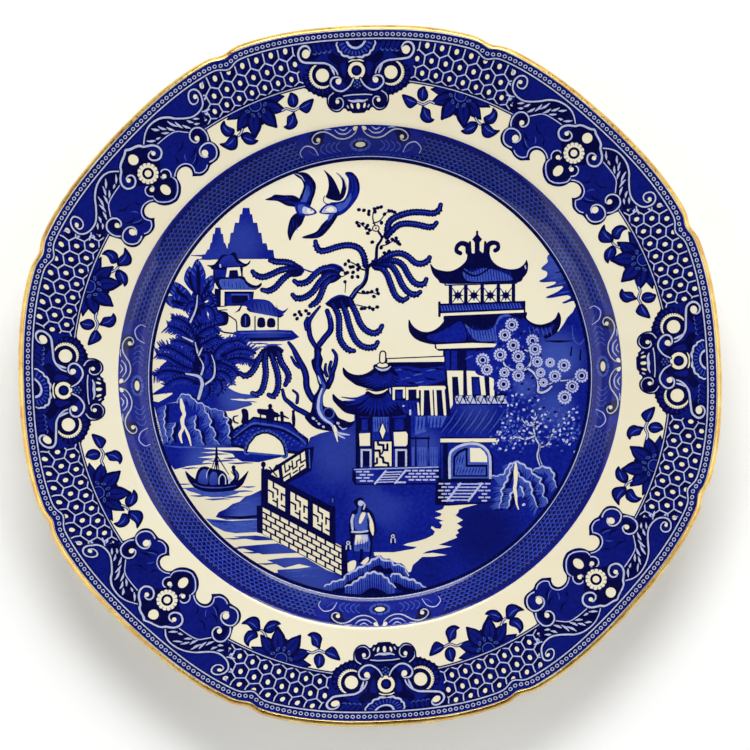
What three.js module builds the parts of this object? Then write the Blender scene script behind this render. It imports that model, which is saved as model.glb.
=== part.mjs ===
// China dinner plate, 10 inches across. Millimetres, +Z up, the face looks up.
// Origin: centre of the foot ring, on the plane that the plate stands on.
// A fired body carries three transfer prints, a clear glaze over them and a gilt line on the lip.
// All of them follow one profile, so each layer is that profile moved out by its own distance.
import * as THREE from "three";

// Face of the body: a flat well, an S-shaped wall and a gently sloping rim.
// The well has one more ring of facets halfway out.
const WELL_MIDDLE_R = 40;
const WELL_R = 79;
const WELL_Z = 6;
const SHOULDER_R = 92.5;
const SHOULDER_Z = 15.4;
const RIM_SLOPE = 0.22;
const RIM_CURVE = 0.0006;

// Lip: a round edge between the face and the back.
const LIP_START_R = 123.6;
const LIP_RADIUS = 1.7;
const LIP_STEPS = 5;

// Back of the body: a rim, a wall that curves in, and the foot ring that the plate stands on.
const BACK_RIM_MIDDLE_R = 112;
const BACK_WALL_R = [79.4, 98];
const BACK_WALL_Z = [2.7, 12];
const BACK_WALL_FOOT_SLOPE = 0.1;
const FOOT_OUTER = { r: 76.6, z: 2 };
const FOOT_FLAT_R = [72.6, 75.4];
const FOOT_INNER = { r: 71.6, z: 1.4 };
const FOOT_HOLLOW = { r: 70, z: 2.2 };

// Moulded edge: eight gentle corners, each with a small notch in it.
const LOBES = 8;
const CORNER_RISE = 1.95;
const NOTCH_DEPTH = 1.1;
const NOTCH_HALF_TURN = THREE.MathUtils.degToRad(1.6);
const WAVE_START_R = 106;

// Layers, as distances out from the body: where each one starts and how thick it is.
const INK = { start: 0.08, thick: 0.06 };
const GLAZE = { start: 0.24, thick: 0.2 };
const GILT = { start: 0.54, thick: 0.1 };

// Reach of each print and of the gilding.
const SCENE_PRINT_R = 79;
const BAND_PRINT_R = [79.6, 90.5];
const BORDER_PRINT_R = [93.6, 123];
const GILT_STEPS = 4;

const SEGMENTS = 64;
const SAME_PLACE = 1e-6;

const PORCELAIN = { color: 0xf1ecd9, roughness: 0.25, metalness: 0 };
const COBALT = { color: 0x26329a, roughness: 0.3, metalness: 0 };
const CLEAR = { color: 0xf4f3ea, roughness: 0.08, metalness: 0, transparent: true, opacity: 0.25 };
const GOLD = { color: 0xd9a441, roughness: 0.3, metalness: 1 };

// Cubic from (r0, z0) with slope s0 to (r1, z1) with slope s1.
function wall(r, [r0, r1], [z0, z1], [s0, s1]) {
  const span = r1 - r0;
  const t = (r - r0) / span;
  const ease = t * t * (3 - 2 * t);
  return z0 + (z1 - z0) * ease + span * t * (1 - t) * (s0 * (1 - t) - s1 * t);
}

function faceHeight(r) {
  if (r <= WELL_R) return WELL_Z;
  if (r <= SHOULDER_R) {
    return wall(r, [WELL_R, SHOULDER_R], [WELL_Z, SHOULDER_Z], [0, RIM_SLOPE]);
  }
  const out = r - SHOULDER_R;
  return SHOULDER_Z + RIM_SLOPE * out + RIM_CURVE * out * out;
}

// Evenly spaced numbers from a to b, both ends included.
function steps(a, b, count) {
  return Array.from({ length: count + 1 }, (_, i) => a + ((b - a) * i) / count);
}

// Face, from the centre out to the lip. The radii include every place where a print starts or ends.
const facePoints = [
  0,
  WELL_MIDDLE_R,
  SCENE_PRINT_R,
  ...steps(BAND_PRINT_R[0], BAND_PRINT_R[1], 5),
  SHOULDER_R,
  ...steps(BORDER_PRINT_R[0], BORDER_PRINT_R[1], 3),
  LIP_START_R,
].map((r) => new THREE.Vector2(r, faceHeight(r)));

// Lip, a half circle that leaves the face along its slope and turns round to the back.
const lipStart = facePoints.at(-1);
const lipTilt = Math.atan(RIM_SLOPE + 2 * RIM_CURVE * (LIP_START_R - SHOULDER_R));
const lipCentre = new THREE.Vector2(
  lipStart.x + LIP_RADIUS * Math.sin(lipTilt),
  lipStart.y - LIP_RADIUS * Math.cos(lipTilt),
);
const lipPoints = steps(Math.PI / 2, -Math.PI / 2, LIP_STEPS)
  .slice(1)
  .map((angle) => new THREE.Vector2(
    lipCentre.x + LIP_RADIUS * Math.cos(angle + lipTilt),
    lipCentre.y + LIP_RADIUS * Math.sin(angle + lipTilt),
  ));

// Back, from the lip in to the foot ring.
const lipEnd = lipPoints.at(-1);
const backSlope = (lipEnd.y - BACK_WALL_Z[1]) / (lipEnd.x - BACK_WALL_R[1]);
const backRimMiddleZ = BACK_WALL_Z[1] + backSlope * (BACK_RIM_MIDDLE_R - BACK_WALL_R[1]);
const backPoints = [
  new THREE.Vector2(BACK_RIM_MIDDLE_R, backRimMiddleZ),
  ...steps(BACK_WALL_R[1], BACK_WALL_R[0], 4).map(
    (r) => new THREE.Vector2(r, wall(r, BACK_WALL_R, BACK_WALL_Z, [BACK_WALL_FOOT_SLOPE, backSlope])),
  ),
  new THREE.Vector2(FOOT_OUTER.r, FOOT_OUTER.z),
];

// Foot ring: its flat stands at z = 0 and stays bare clay.
const footPoints = [
  new THREE.Vector2(FOOT_FLAT_R[1], 0),
  new THREE.Vector2(FOOT_FLAT_R[0], 0),
];

// Hollow inside the foot ring.
const hollowPoints = [
  new THREE.Vector2(FOOT_INNER.r, FOOT_INNER.z),
  new THREE.Vector2(FOOT_HOLLOW.r, FOOT_HOLLOW.z),
  new THREE.Vector2(WELL_MIDDLE_R, FOOT_HOLLOW.z),
  new THREE.Vector2(0, FOOT_HOLLOW.z),
];

// How much further out the edge is at this angle than at the middle of a side.
function edgeWave(angle) {
  const turn = (2 * Math.PI) / LOBES;
  const fromCorner = angle - (Math.floor(angle / turn) + 0.5) * turn;
  const corner = (1 + Math.cos((2 * Math.PI * fromCorner) / turn)) / 2;
  const notch = Math.exp(-((fromCorner / NOTCH_HALF_TURN) ** 2));
  return CORNER_RISE * corner - NOTCH_DEPTH * notch;
}

// Moves a turned shape in or out, more towards the edge, so that its outline has the eight corners.
function addWave(geometry) {
  const place = geometry.getAttribute("position");
  for (let i = 0; i < place.count; i += 1) {
    const x = place.getX(i);
    const y = place.getY(i);
    const r = Math.hypot(x, y);
    const share = THREE.MathUtils.smoothstep(r, WAVE_START_R, LIP_START_R);
    const scale = share > 0 ? 1 + (share * edgeWave(Math.atan2(y, x))) / r : 1;
    place.setXY(i, x * scale, y * scale);
  }
  return geometry;
}

// A closed solid turned about Z from a profile that runs out along its top and back along its underside.
function turned(profile) {
  const geometry = new THREE.LatheGeometry([...profile].reverse(), SEGMENTS).rotateX(Math.PI / 2);
  return addWave(geometry);
}

// The run of points moved out along its own normals. The run has the body on its right.
function movedOut(run, distance) {
  return run.map((point, i) => {
    const before = run[Math.max(i - 1, 0)];
    const after = run[Math.min(i + 1, run.length - 1)];
    const along = after.clone().sub(before).normalize();
    const out = new THREE.Vector2(-along.y, along.x).multiplyScalar(distance);
    if (point.x === 0) out.x = 0;
    return point.clone().add(out);
  });
}

// A thin layer over a run of the profile, closed on itself or at the axis.
function layerOver(run, { start, thick }) {
  const inner = movedOut(run, start);
  const outer = movedOut(run, start + thick);
  const meetsAxis = run.some((point) => point.x === 0);
  const profile = [...outer, ...inner.reverse()];
  if (!meetsAxis) return turned([...profile, profile[0].clone()]);
  if (run[0].x === 0) return turned(profile);
  return turned([...profile.slice(run.length), ...profile.slice(0, run.length)]);
}

function between([from, to]) {
  return facePoints.filter((point) => point.x >= from - SAME_PLACE && point.x <= to + SAME_PLACE);
}

const plate = new THREE.Group();

function addPiece(name, geometry, finish) {
  const piece = new THREE.Mesh(geometry, new THREE.MeshStandardMaterial(finish));
  piece.name = name;
  plate.add(piece);
}

const glazedBack = [...facePoints, ...lipPoints, ...backPoints];

addPiece("plate_body", turned([...glazedBack, ...footPoints, ...hollowPoints]), PORCELAIN);
addPiece("scene_transfer", layerOver(between([0, SCENE_PRINT_R]), INK), COBALT);
addPiece("band_transfer", layerOver(between(BAND_PRINT_R), INK), COBALT);
addPiece("border_transfer", layerOver(between(BORDER_PRINT_R), INK), COBALT);
addPiece("glaze_coat", layerOver(glazedBack, GLAZE), CLEAR);
addPiece("foot_hollow_glaze", layerOver(hollowPoints, GLAZE), CLEAR);
addPiece("gilt_edge_line", layerOver([lipStart, ...lipPoints.slice(0, GILT_STEPS)], GILT), GOLD);

export default plate;
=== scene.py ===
# Blue-and-white china dinner plate: the glazed body, its worn gilt edge and its printed decoration.
# Lengths are millimetres until a mesh is made; meshes are in metres, in the frame of the CAD model.
import math

import bpy
import numpy as np
from mathutils import Matrix, Vector
from mathutils.geometry import delaunay_2d_cdt


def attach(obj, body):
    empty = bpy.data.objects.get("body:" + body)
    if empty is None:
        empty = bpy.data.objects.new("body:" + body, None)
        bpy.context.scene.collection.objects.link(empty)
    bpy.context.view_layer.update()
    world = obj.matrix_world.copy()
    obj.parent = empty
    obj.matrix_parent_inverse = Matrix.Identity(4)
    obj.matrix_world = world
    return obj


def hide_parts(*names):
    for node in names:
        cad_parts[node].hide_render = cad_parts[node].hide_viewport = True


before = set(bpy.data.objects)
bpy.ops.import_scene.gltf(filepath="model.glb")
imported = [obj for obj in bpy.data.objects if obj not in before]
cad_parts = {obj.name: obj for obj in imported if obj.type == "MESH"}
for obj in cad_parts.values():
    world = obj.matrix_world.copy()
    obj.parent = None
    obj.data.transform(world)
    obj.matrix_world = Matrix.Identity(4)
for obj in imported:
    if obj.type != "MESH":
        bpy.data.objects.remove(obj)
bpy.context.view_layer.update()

# ---------------------------------------------------------------------------
# Drawing on the flat. A print is a list of closed outlines laid one over
# another, each in one tone of the cobalt ink; BARE is the china itself.
# ---------------------------------------------------------------------------
DEEP, BLUE, LIGHT, PALE, BARE = range(5)
TONE_NAMES = ["deep", "blue", "light", "pale"]

CURVE_STEP = 0.55
EDGE_WIDTH = 0.42


def smooth(points, closed=False, step=CURVE_STEP):
    """A rounded curve through the points, as points about one step apart."""
    p = np.array(points, float)
    if closed:
        p = np.vstack([p[-1], p, p[:2]])
    else:
        p = np.vstack([2 * p[0] - p[1], p, 2 * p[-1] - p[-2]])
    out = []
    for a, b, c, d in zip(p[:-3], p[1:-2], p[2:-1], p[3:]):
        count = max(2, round(float(np.linalg.norm(c - b)) / step))
        for t in np.arange(count) / count:
            out.append(0.5 * (2 * b + (c - a) * t + (2 * a - 5 * b + 4 * c - d) * t ** 2
                              + (3 * b - a - 3 * c + d) * t ** 3))
    if not closed:
        out.append(p[-2])
    return np.array(out)


def ribbon(path, width, closed=False):
    """The outline of a stroke along the path. The width is one number, or several along its length."""
    p = np.array(path, float)
    if closed:
        p = np.vstack([p, p[:1]])
    before = np.diff(p, axis=0)
    before /= np.maximum(np.linalg.norm(before, axis=1), 1e-9)[:, None]
    joins = [before[-1] if closed else before[0], *before, before[0] if closed else before[-1]]
    sides = np.array([(a + b) / max(1 + float(a @ b), 0.35) for a, b in zip(joins[:-1], joins[1:])])
    sides = np.stack([-sides[:, 1], sides[:, 0]], axis=1)
    widths = np.atleast_1d(width)
    half = np.interp(np.linspace(0, 1, len(p)), np.linspace(0, 1, len(widths)), widths) / 2
    left = p + sides * half[:, None]
    right = (p - sides * half[:, None])[::-1]
    if closed:
        return np.vstack([left, right])
    turns = np.radians([60, 30, 0, -30, -60])
    ends = []
    for place, along, reach in ((p[-1], before[-1], half[-1]), (p[0], -before[0], half[0])):
        across = np.array([-along[1], along[0]])
        ends.append(np.array([place + reach * (math.cos(t) * along + math.sin(t) * across) for t in turns]))
    return np.vstack([left, ends[0], right, ends[1]])


def oval(x, y, rx, ry=None, turn=0, count=None):
    """An ellipse, turned anticlockwise by a number of degrees."""
    ry = ry or rx
    count = count or max(7, min(36, round(7 * math.sqrt(max(rx, ry)) + 4)))
    t = np.arange(count) * 2 * math.pi / count
    flat = np.stack([rx * np.cos(t), ry * np.sin(t)], axis=1)
    c, s = math.cos(math.radians(turn)), math.sin(math.radians(turn))
    return flat @ np.array([[c, s], [-s, c]]) + (x, y)


def polar(centre, reach, turn):
    """The point at this reach from the centre, at an angle in radians."""
    return (centre[0] + reach * math.cos(turn), centre[1] + reach * math.sin(turn))


def spoke(centre, near, far, turn):
    """The two ends of a ray that points away from the centre, at an angle in radians."""
    return [polar(centre, near, turn), polar(centre, far, turn)]


class Print:
    """A transfer print, drawn flat in millimetres."""

    def __init__(self):
        self.shapes = []

    def fill(self, tone, points):
        """An area with straight sides."""
        self.shapes.append((np.array(points, float), tone))

    def blob(self, tone, points):
        """An area with a rounded outline."""
        self.shapes.append((smooth(points, closed=True), tone))

    def box(self, tone, x0, y0, x1, y1):
        """An upright oblong, from one corner to the opposite one."""
        self.fill(tone, [(x0, y0), (x1, y0), (x1, y1), (x0, y1)])

    def line(self, tone, width, points, closed=False):
        """A rounded stroke."""
        self.shapes.append((ribbon(smooth(points, closed), width, closed), tone))

    def bar(self, tone, width, points, closed=False):
        """A stroke with straight runs and sharp corners."""
        self.shapes.append((ribbon(points, width, closed), tone))

    def dot(self, tone, x, y, rx, ry=None, turn=0):
        self.shapes.append((oval(x, y, rx, ry, turn), tone))

    def ring(self, tone, x, y, radius, width):
        self.shapes.append((ribbon(oval(x, y, radius), width, True), tone))

    def edged(self, width, points, tone=BARE, edge=EDGE_WIDTH):
        """A rounded stroke with a dark edge on both sides."""
        self.line(DEEP, np.atleast_1d(width) + 2 * edge, points)
        self.line(tone, width, points)

    def edged_dot(self, x, y, rx, ry=None, turn=0, tone=BARE, edge=EDGE_WIDTH):
        self.dot(DEEP, x, y, rx + edge, (ry or rx) + edge, turn)
        self.dot(tone, x, y, rx, ry, turn)


def draw_tapers(p, tapers):
    """Curves that run thin at both ends. Each is (tone, end width, middle width, points)."""
    for tone, end, middle, points in tapers:
        p.line(tone, [end, middle, end], points)


# ---------------------------------------------------------------------------
# Border print. One eighth of it is drawn, from the axis of a cartouche
# (across = 0) to the axis of a cloud (across = BORDER_SPAN). The first number
# of a point runs along the rim, measured on a circle of RIM_RULER_R; the
# second is its radius on the plate.
# ---------------------------------------------------------------------------
RIM_RULER_R = 110
BORDER_SPAN = RIM_RULER_R * math.pi / 4
CORNER_ACROSS = BORDER_SPAN / 2
CORNER_RISE = 1.95
NOTCH_DEPTH = 1.1
NOTCH_HALF_WIDTH = RIM_RULER_R * math.radians(1.6)
EDGE_LINE_R = 121.15
EDGE_LINE_NOTCH = 1.9
LINE_NOTCH_HALF_WIDTH = 2.6
BEAD_R = 122.7
BEAD_PITCH = 1.85
PRINT_EDGE_R = 124.2
PRINT_RISE = 0.5
CELL_PITCH = 4.97
CELL_HALF_WIDTH = 2.48
CELL_ROWS = [120.1, 115.4, 110.6]
SHELL_Y = 121
EYE = (12.4, 109.7)
CLOUD_FLOWER = (BORDER_SPAN, 108.3)
CLOUD_PETALS = 14

# The lower outline of the border, as rounded runs that meet in corners. Like every outline
# that reaches an axis, it runs a little past it, and trace() cuts it off there.
BORDER_FOOT_RUNS = [
    [(-2, 95), (2.5, 95.2)],
    [(2.5, 95.2), (3.4, 96), (4.4, 95.9)],
    [(4.4, 95.9), (5.2, 96.9), (6, 97.1), (7.5, 96.1), (9.6, 96.1), (11.4, 97.2), (12.4, 99.3),
     (12.3, 101.6)],
    [(12.3, 101.6), (13, 101.9), (13.8, 101.7)],
    [(13.8, 101.7), (14.4, 102.5), (15.4, 102.6)],
    [(15.4, 102.6), (16, 103.4), (17, 103.6)],
    [(17, 103.6), (17.6, 104.6), (18.6, 104.9)],
    [(18.6, 104.9), (19, 105.9), (20, 106.5)],
    [(20, 106.5), (59.4, 106.5)],
    [(59.4, 106.5), (59.9, 104.2), (60.4, 102.2)],
    [(60.4, 102.2), (59.6, 101), (59.3, 99.4), (59.7, 97.8), (60.9, 96.4), (62.6, 95.7), (64.6, 95.6),
     (66.4, 95.5), (68, 94.7), (70, 94.4), (71.8, 94.6), (73.4, 95.6), (74.9, 96.6)],
    [(74.9, 96.6), (74, 97.4), (73.5, 98.8), (73.8, 100.1), (75, 101.1), (76.8, 101.4), (78.6, 100.9),
     (79.8, 99.8), (80.2, 98.4), (81, 96.9), (82.4, 95.6), (84.2, 94.7), (86.4, 94.2), (89, 94.4)]]


def border_foot():
    return [tuple(point) for run in BORDER_FOOT_RUNS for point in smooth(run)]


def edge_rise(across, notch=NOTCH_DEPTH, half_width=NOTCH_HALF_WIDTH):
    """How much further out the edge is here than at the middle of a side."""
    from_corner = across - CORNER_ACROSS
    corner = (1 + math.cos(2 * math.pi * from_corner / BORDER_SPAN)) / 2
    return CORNER_RISE * corner - notch * math.exp(-((from_corner / half_width) ** 2))


def along_edge(radius, notch=NOTCH_DEPTH):
    """Points that follow the moulded edge, at this radius in the middle of a side."""
    return [(x, radius + edge_rise(x, notch, LINE_NOTCH_HALF_WIDTH)) for x in np.arange(-3, 90, 1.0)]


def draw_honeycomb(p):
    """A net of six-sided cells, each with an oval seed, under the beaded edge."""
    p.fill(DEEP, [(17, 123.5), (17, 106.5), (20, 106.5), (59.4, 106.5), (62, 108), (62, 123.5)])
    for row, y in enumerate(CELL_ROWS):
        for cell in range(-1, 9):
            x = 23.6 + (cell - 0.5 * (row % 2)) * CELL_PITCH
            left, right = x - CELL_HALF_WIDTH, x + CELL_HALF_WIDTH
            for spot in (
                    (x - 1.1, y + 1, 0.75, 1.1), (x + 1.2, y - 1.2, 0.75, 1), (x + 1.3, y + 1.1, 0.4, 0.7)):
                p.dot(BLUE, *spot)
            if row > 0:
                p.bar(PALE, 0.42, [(left, y + 1.5), (x, y + 3), (right, y + 1.5)])
            top = y + (1.6 if row > 0 else 4)
            p.bar(PALE, 0.42, [(left, top), (left, y - 1.6)])
            if row == len(CELL_ROWS) - 1:
                p.bar(PALE, 0.4, [(left, y - 1.5), (x, y - 2.9), (right, y - 1.5)])
            p.dot(DEEP, x, y, 1.05, 1.3)
            p.dot(BARE, x, y, 0.74, 0.98)
    p.box(DEEP, 16, 108, 63, 106.5)


def draw_shell(p):
    """The half shell at the top of a cartouche, with rays inside a scalloped edge."""
    p.dot(BLUE, 0, SHELL_Y, 6.6)
    for turn in range(-84, 91, 14):
        c, s = math.sin(math.radians(turn)), -math.cos(math.radians(turn))
        p.bar(LIGHT, 0.3, [(4.3 * c, SHELL_Y + 4.3 * s), (5.6 * c, SHELL_Y + 5.6 * s)])
    scallops = [(6.6, 120.9), (6.2, 120.2), (6.5, 119.2), (6.1, 118.4), (5.8, 117.3), (5, 116.9),
                (4.7, 116), (3.8, 115.5), (2.9, 115.4), (2.2, 114.8), (1.2, 114.9), (0, 114.6)]
    p.edged([0.4, 0.65, 0.8], scallops, tone=PALE)
    for tone, radius in ((BLUE, 4.1), (PALE, 3.5), (DEEP, 2.8)):
        p.dot(tone, 0, SHELL_Y, radius)


def draw_long_scroll(p):
    """The big S that runs from the shell down to the stem of the cartouche."""
    p.edged([0.5, 0.68, 0.72, 0.68, 0.45], tone=PALE, points=[
        (15.9, 117.4), (15.4, 118.6), (16, 119.9), (17.4, 120.4), (18.9, 119.6), (19.5, 118), (19, 116.4),
        (18, 115.4), (16, 114.8), (13, 114.2), (11, 113.8), (9.5, 113), (8.2, 111.9), (7.2, 110.4),
        (6.8, 108.9)])
    p.dot(BARE, 16.9, 117.9, 1.35)
    p.line(PALE, [0.25, 0.9, 0.25], [(9.3, 112.4), (8.5, 111), (8, 108.9)])
    for x in (8.9, 10.6, 12.3, 13.8):
        p.dot(DEEP, x, 118.8, 0.95, 1.9, -18)
        p.dot(BLUE, x, 119, 0.62, 1.5, -18)
        p.line(LIGHT, [0.15, 0.42, 0.2], [(x - 0.7, 118), (x - 0.1, 117.2), (x + 0.8, 117.6)])


def draw_eye(p):
    """The round eye beside the stem: a white disc, a dark ring and an open white ring."""
    p.blob(DEEP, [
        (19.4, 106.2), (18, 104.5), (16.4, 103.3), (14.8, 102.5), (12.4, 102.2), (10, 102.6), (9, 104.6),
        (7.8, 107.5), (7.6, 110.6), (8.6, 113), (12, 113.6), (16, 113.9), (18.8, 112), (19.6, 109.4)])
    for turn in range(-150, 60, 17):
        p.dot(BLUE, *polar(EYE, 5.9, math.radians(turn)), 0.5, 0.75, turn + 90)
    arc = [polar(EYE, 4.3, math.radians(turn)) for turn in range(78, -121, -18)]
    p.line(BARE, [0.35, 1, 1.15, 1, 0.4], arc)
    for turn in range(66, -112, -11):
        p.bar(DEEP, [0.16, 0.34], spoke(EYE, 4.4, 5, math.radians(turn)))
    p.dot(BARE, *EYE, 2.4)


def draw_stem(p):
    """What stands on the cartouche's axis over the cup: a petal, a ring and small crossed leaves."""
    p.blob(DEEP, [
        (-2, 114.2), (2.4, 114.2), (6.4, 113.4), (6.6, 108.6), (4.2, 105.4), (2.4, 103.4), (-2, 103.4)])
    p.blob(BLUE, [(3.6, 113.2), (5.6, 112.6), (5.4, 110), (4.4, 108.2), (3.8, 109.8)])
    p.line(BARE, [0.3, 0.55, 0.3], [(0, 113.9), (1.3, 113.9), (2.6, 113.4)])
    p.ring(BARE, 0, 110.2, 2.5, 1.15)
    p.dot(BLUE, 0, 110.2, 1.1)
    for x, y in ((0, 106.6), (1, 106), (0, 105.4), (1, 104.8), (0, 104.2), (2, 105.4)):
        p.dot(LIGHT, x, y, 0.42, 0.34)


def draw_stem_scroll(p):
    """The S on each side of the stem that ends in a curl."""
    p.edged([0.45, 0.6, 0.64, 0.6, 0.5], tone=PALE, points=[
        (1.3, 107.3), (1.6, 106.6), (2.6, 105.1), (4.2, 103.9), (6, 103.3), (8, 103.8), (9.5, 105.2),
        (9.9, 106.6), (9.2, 108), (7.8, 108.5), (6.5, 108.2), (5.9, 107.2), (6.3, 106.5)])
    p.dot(BARE, 6.9, 106.8, 1.05)


def draw_cup(p):
    """The cup at the foot of the cartouche, with petals under it."""
    p.fill(DEEP, [
        (-2, 102.9), (5.4, 102.9), (7.6, 101.9), (6, 100.4), (5.2, 98.4), (4.9, 96.6), (4.4, 95.9),
        (2.5, 95.2), (-2, 95.1)])
    p.line(PALE, 0.4, [(0, 101.7), (3, 101.7), (5.6, 101.5)])
    p.line(BLUE, 0.5, [(0, 100.7), (4.4, 100.7)])
    p.line(PALE, [1, 0.8, 0.35], [(0, 99.5), (2.2, 99.4), (3.8, 99.9)])
    p.dot(BARE, 0, 97.7, 0.7, 1.15)
    p.dot(BARE, 2.55, 97.8, 0.45, 1, -18)
    p.dot(PALE, 4.2, 97.6, 0.3, 0.7, -30)


def draw_lower_scroll(p):
    """The curl that hangs on each side of the cup."""
    p.blob(DEEP, [
        (9, 103.8), (11.6, 102.6), (12.9, 100.4), (12.3, 97.8), (10.4, 96), (8.2, 95.7), (6, 96.9), (5, 99),
        (5.6, 101.4), (7.4, 102.3)])
    p.line(PALE, 0.4, [
        (9.3, 103), (11, 102), (11.9, 100.2), (11.6, 98.2), (10.3, 97), (8.6, 96.7), (6.8, 97.3),
        (5.9, 98.8), (6.1, 100.2), (7.1, 101), (8.4, 100.8)])
    p.dot(BARE, 8.2, 99.8, 0.78)


def draw_petal(p, foot, tip, half_width):
    """A pointed petal: dark edge, lighter middle and a dark vein."""
    reach_x, reach_y = tip[0] - foot[0], tip[1] - foot[1]
    length = math.hypot(reach_x, reach_y)

    def at(share, out):
        return (
            foot[0] + share * reach_x - out * reach_y / length,
            foot[1] + share * reach_y + out * reach_x / length)
    p.blob(DEEP, [
        at(0, 0), at(0.26, half_width), at(0.6, 0.92 * half_width), at(0.86, 0.4 * half_width), tip,
        at(0.86, -0.4 * half_width), at(0.6, -0.92 * half_width), at(0.26, -half_width)])
    p.blob(BLUE, [
        at(0.12, 0), at(0.34, 0.66 * half_width), at(0.6, 0.6 * half_width), at(0.86, 0.1 * half_width),
        at(0.6, -0.5 * half_width), at(0.34, -0.6 * half_width)])
    p.line(DEEP, [0.9, 0.5, 0.15], [at(0.05, 0), at(0.45, 0.1 * half_width), at(0.74, 0)])


def draw_lower_flower(p):
    """The blossom that hangs from the honeycomb, with its leaves on both sides."""
    p.fill(DEEP, [(30, 106.8), (33.6, 104), (39, 101.6), (44.6, 104), (48.6, 106.8)])
    for foot, tip, half_width in (
            ((37, 106.2), (27.6, 105.6), 1.9), ((41, 106.2), (51.2, 105.9), 1.9),
            ((37.6, 105.4), (28.8, 100.8), 2.5), ((40.8, 105.4), (49.8, 100.5), 2.5),
            ((39, 104.4), (39.4, 98.6), 2.3), ((38.2, 104.8), (34.4, 95.8), 2.9),
            ((40.2, 104.8), (44.6, 95.3), 2.9)):
        draw_petal(p, foot, tip, half_width)
    p.blob(DEEP, [
        (35, 106.6), (35.6, 104.2), (37.2, 102.6), (39.2, 102), (41.2, 102.6), (42.8, 104.2), (43.4, 106.6)])
    p.dot(BLUE, 39.2, 105.9, 1.5, 1.3)
    p.line(LIGHT, [0.3, 0.42, 0.3], [(37, 106.4), (37.4, 104.8), (39.2, 104), (41, 104.8), (41.4, 106.4)])
    for x, y, turn in (
            (35.7, 105.2, 150), (37, 103.2, 118), (39.2, 102.4, 90), (41.4, 103.2, 62), (42.7, 105.2, 30)):
        p.dot(LIGHT, x, y, 0.95, 0.5, turn)
        p.dot(DEEP, x, y, 0.6, 0.24, turn)
    p.bar(PALE, 0.32, [(19.5, 107.15), (60.4, 107.15)])


def draw_lower_leaves(p):
    """Six leaves with light veins, three on each side of the blossom, and two stems."""
    leaves = [
        ([(17.2, 102.2), (20, 102.1), (22.4, 101.4), (23.9, 100.2), (23, 98.9), (21.2, 97.6), (19.6, 98.2),
          (18.2, 99.9)], [(19.2, 101), (21, 100.4), (22.8, 100.1)]),
        ([(25.2, 106.3), (23.3, 105), (22.9, 103.2), (23.6, 101.6), (25.2, 100.7), (26.8, 101.4),
          (27.4, 102.8), (26.9, 104.4), (26.1, 105.3)], [(24.9, 105.2), (25, 103.4), (25.2, 101.9)]),
        ([(25.8, 99.3), (25.6, 97), (25.5, 95.5), (26.6, 94.2), (28.6, 93.6), (30.6, 94), (31.9, 95.4),
          (30.4, 95.8), (29.8, 97.2), (29, 98.5), (27.6, 98.8)], [(26.8, 98), (27.8, 96.4), (29.6, 95.2)]),
        ([(52, 106.2), (54.2, 105.4), (55.2, 103.4), (54.8, 101.2), (53.4, 100.2), (51.5, 100.1),
          (50.4, 101.2), (50.4, 102), (51.8, 103.6), (52.2, 104.8)],
         [(53.4, 104.8), (53.2, 103), (52.4, 101.6)]),
        ([(51, 99.9), (53.4, 100.2), (56, 99.4), (58.3, 100), (57.6, 98), (56, 96), (54, 95.3), (52.4, 95.9),
          (51.3, 97.4), (50.6, 98.8)], [(52.2, 98.9), (54, 98.3), (56.2, 98.2)]),
        ([(49.4, 98.6), (49.5, 96.8), (48.8, 95), (47, 93.9), (45.2, 93.7), (43.6, 94.3), (44.8, 95.4),
          (45, 97.2), (45.8, 98.5), (47.6, 99.2)], [(48.4, 97.6), (47.4, 96.4), (45.8, 95.2)])]
    for outline, vein in leaves:
        p.blob(DEEP, outline)
        middle = np.mean(np.array(outline), axis=0)
        p.blob(BLUE, [tuple(middle + (np.array(point) - middle) * 0.72) for point in outline])
        p.line(LIGHT, [0.15, 0.5, 0.15], vein)
    p.edged(0.45, [(23.7, 100.2), (26, 99.8), (28.4, 101.2), (30.2, 101)], tone=PALE, edge=0.3)
    p.edged(0.45, [(47.4, 100.4), (49, 99.3), (50.2, 99)], tone=PALE, edge=0.3)


def draw_cloud_ground(p):
    """The flat panel over the cloud, and the slanting leaves that stand under its edge."""
    p.fill(BLUE, [(54.6, 124), (55.4, 115), (58.6, 112.4), (59.6, 106), (59, 94), (90, 93), (90, 124)])
    p.blob(DEEP, [
        (58, 113), (61, 113), (64, 114.6), (68, 117.6), (72, 119.4), (76, 119.2), (80.4, 116), (77.6, 113.8),
        (73, 113.2), (69, 112.4), (66, 109.6), (62, 109.6), (58.4, 108)])
    p.blob(DEEP, [
        (90, 119.4), (84, 117.4), (80.6, 115.6), (80.2, 108.6), (82.6, 106), (80.4, 104.6), (80.6, 101.6),
        (84, 97), (90, 96.4)])
    slants = [
        ((66.2, 112), (67, 115.2)), ((67.4, 113.6), (69, 117)), ((69, 113), (70.4, 115.6)),
        ((71, 115.2), (72.6, 117.6)), ((73, 116.6), (75, 118.3)), ((71, 113.7), (73, 115.2)),
        ((74.4, 114.4), (75.8, 114.9)), ((76.4, 114.7), (78.6, 116.6)), ((59.5, 111.3), (61.6, 113)),
        ((60.4, 109.9), (62, 110.8)), ((62, 111.4), (63.4, 113.2)), ((64, 110.3), (65.6, 112.8)),
        ((52.6, 121), (53.6, 119.4)), ((53.2, 116.4), (55, 116)), ((54.5, 112.2), (56.6, 112.6)),
        ((55.6, 110.6), (56.8, 112))]
    for foot, head in slants:
        middle = ((foot[0] + head[0]) / 2 + 0.2, (foot[1] + head[1]) / 2)
        p.line(PALE, [0.25, 0.85, 0.25], [foot, middle, head])
    p.dot(PALE, 57.8, 109.7, 0.5, 0.35)


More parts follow.
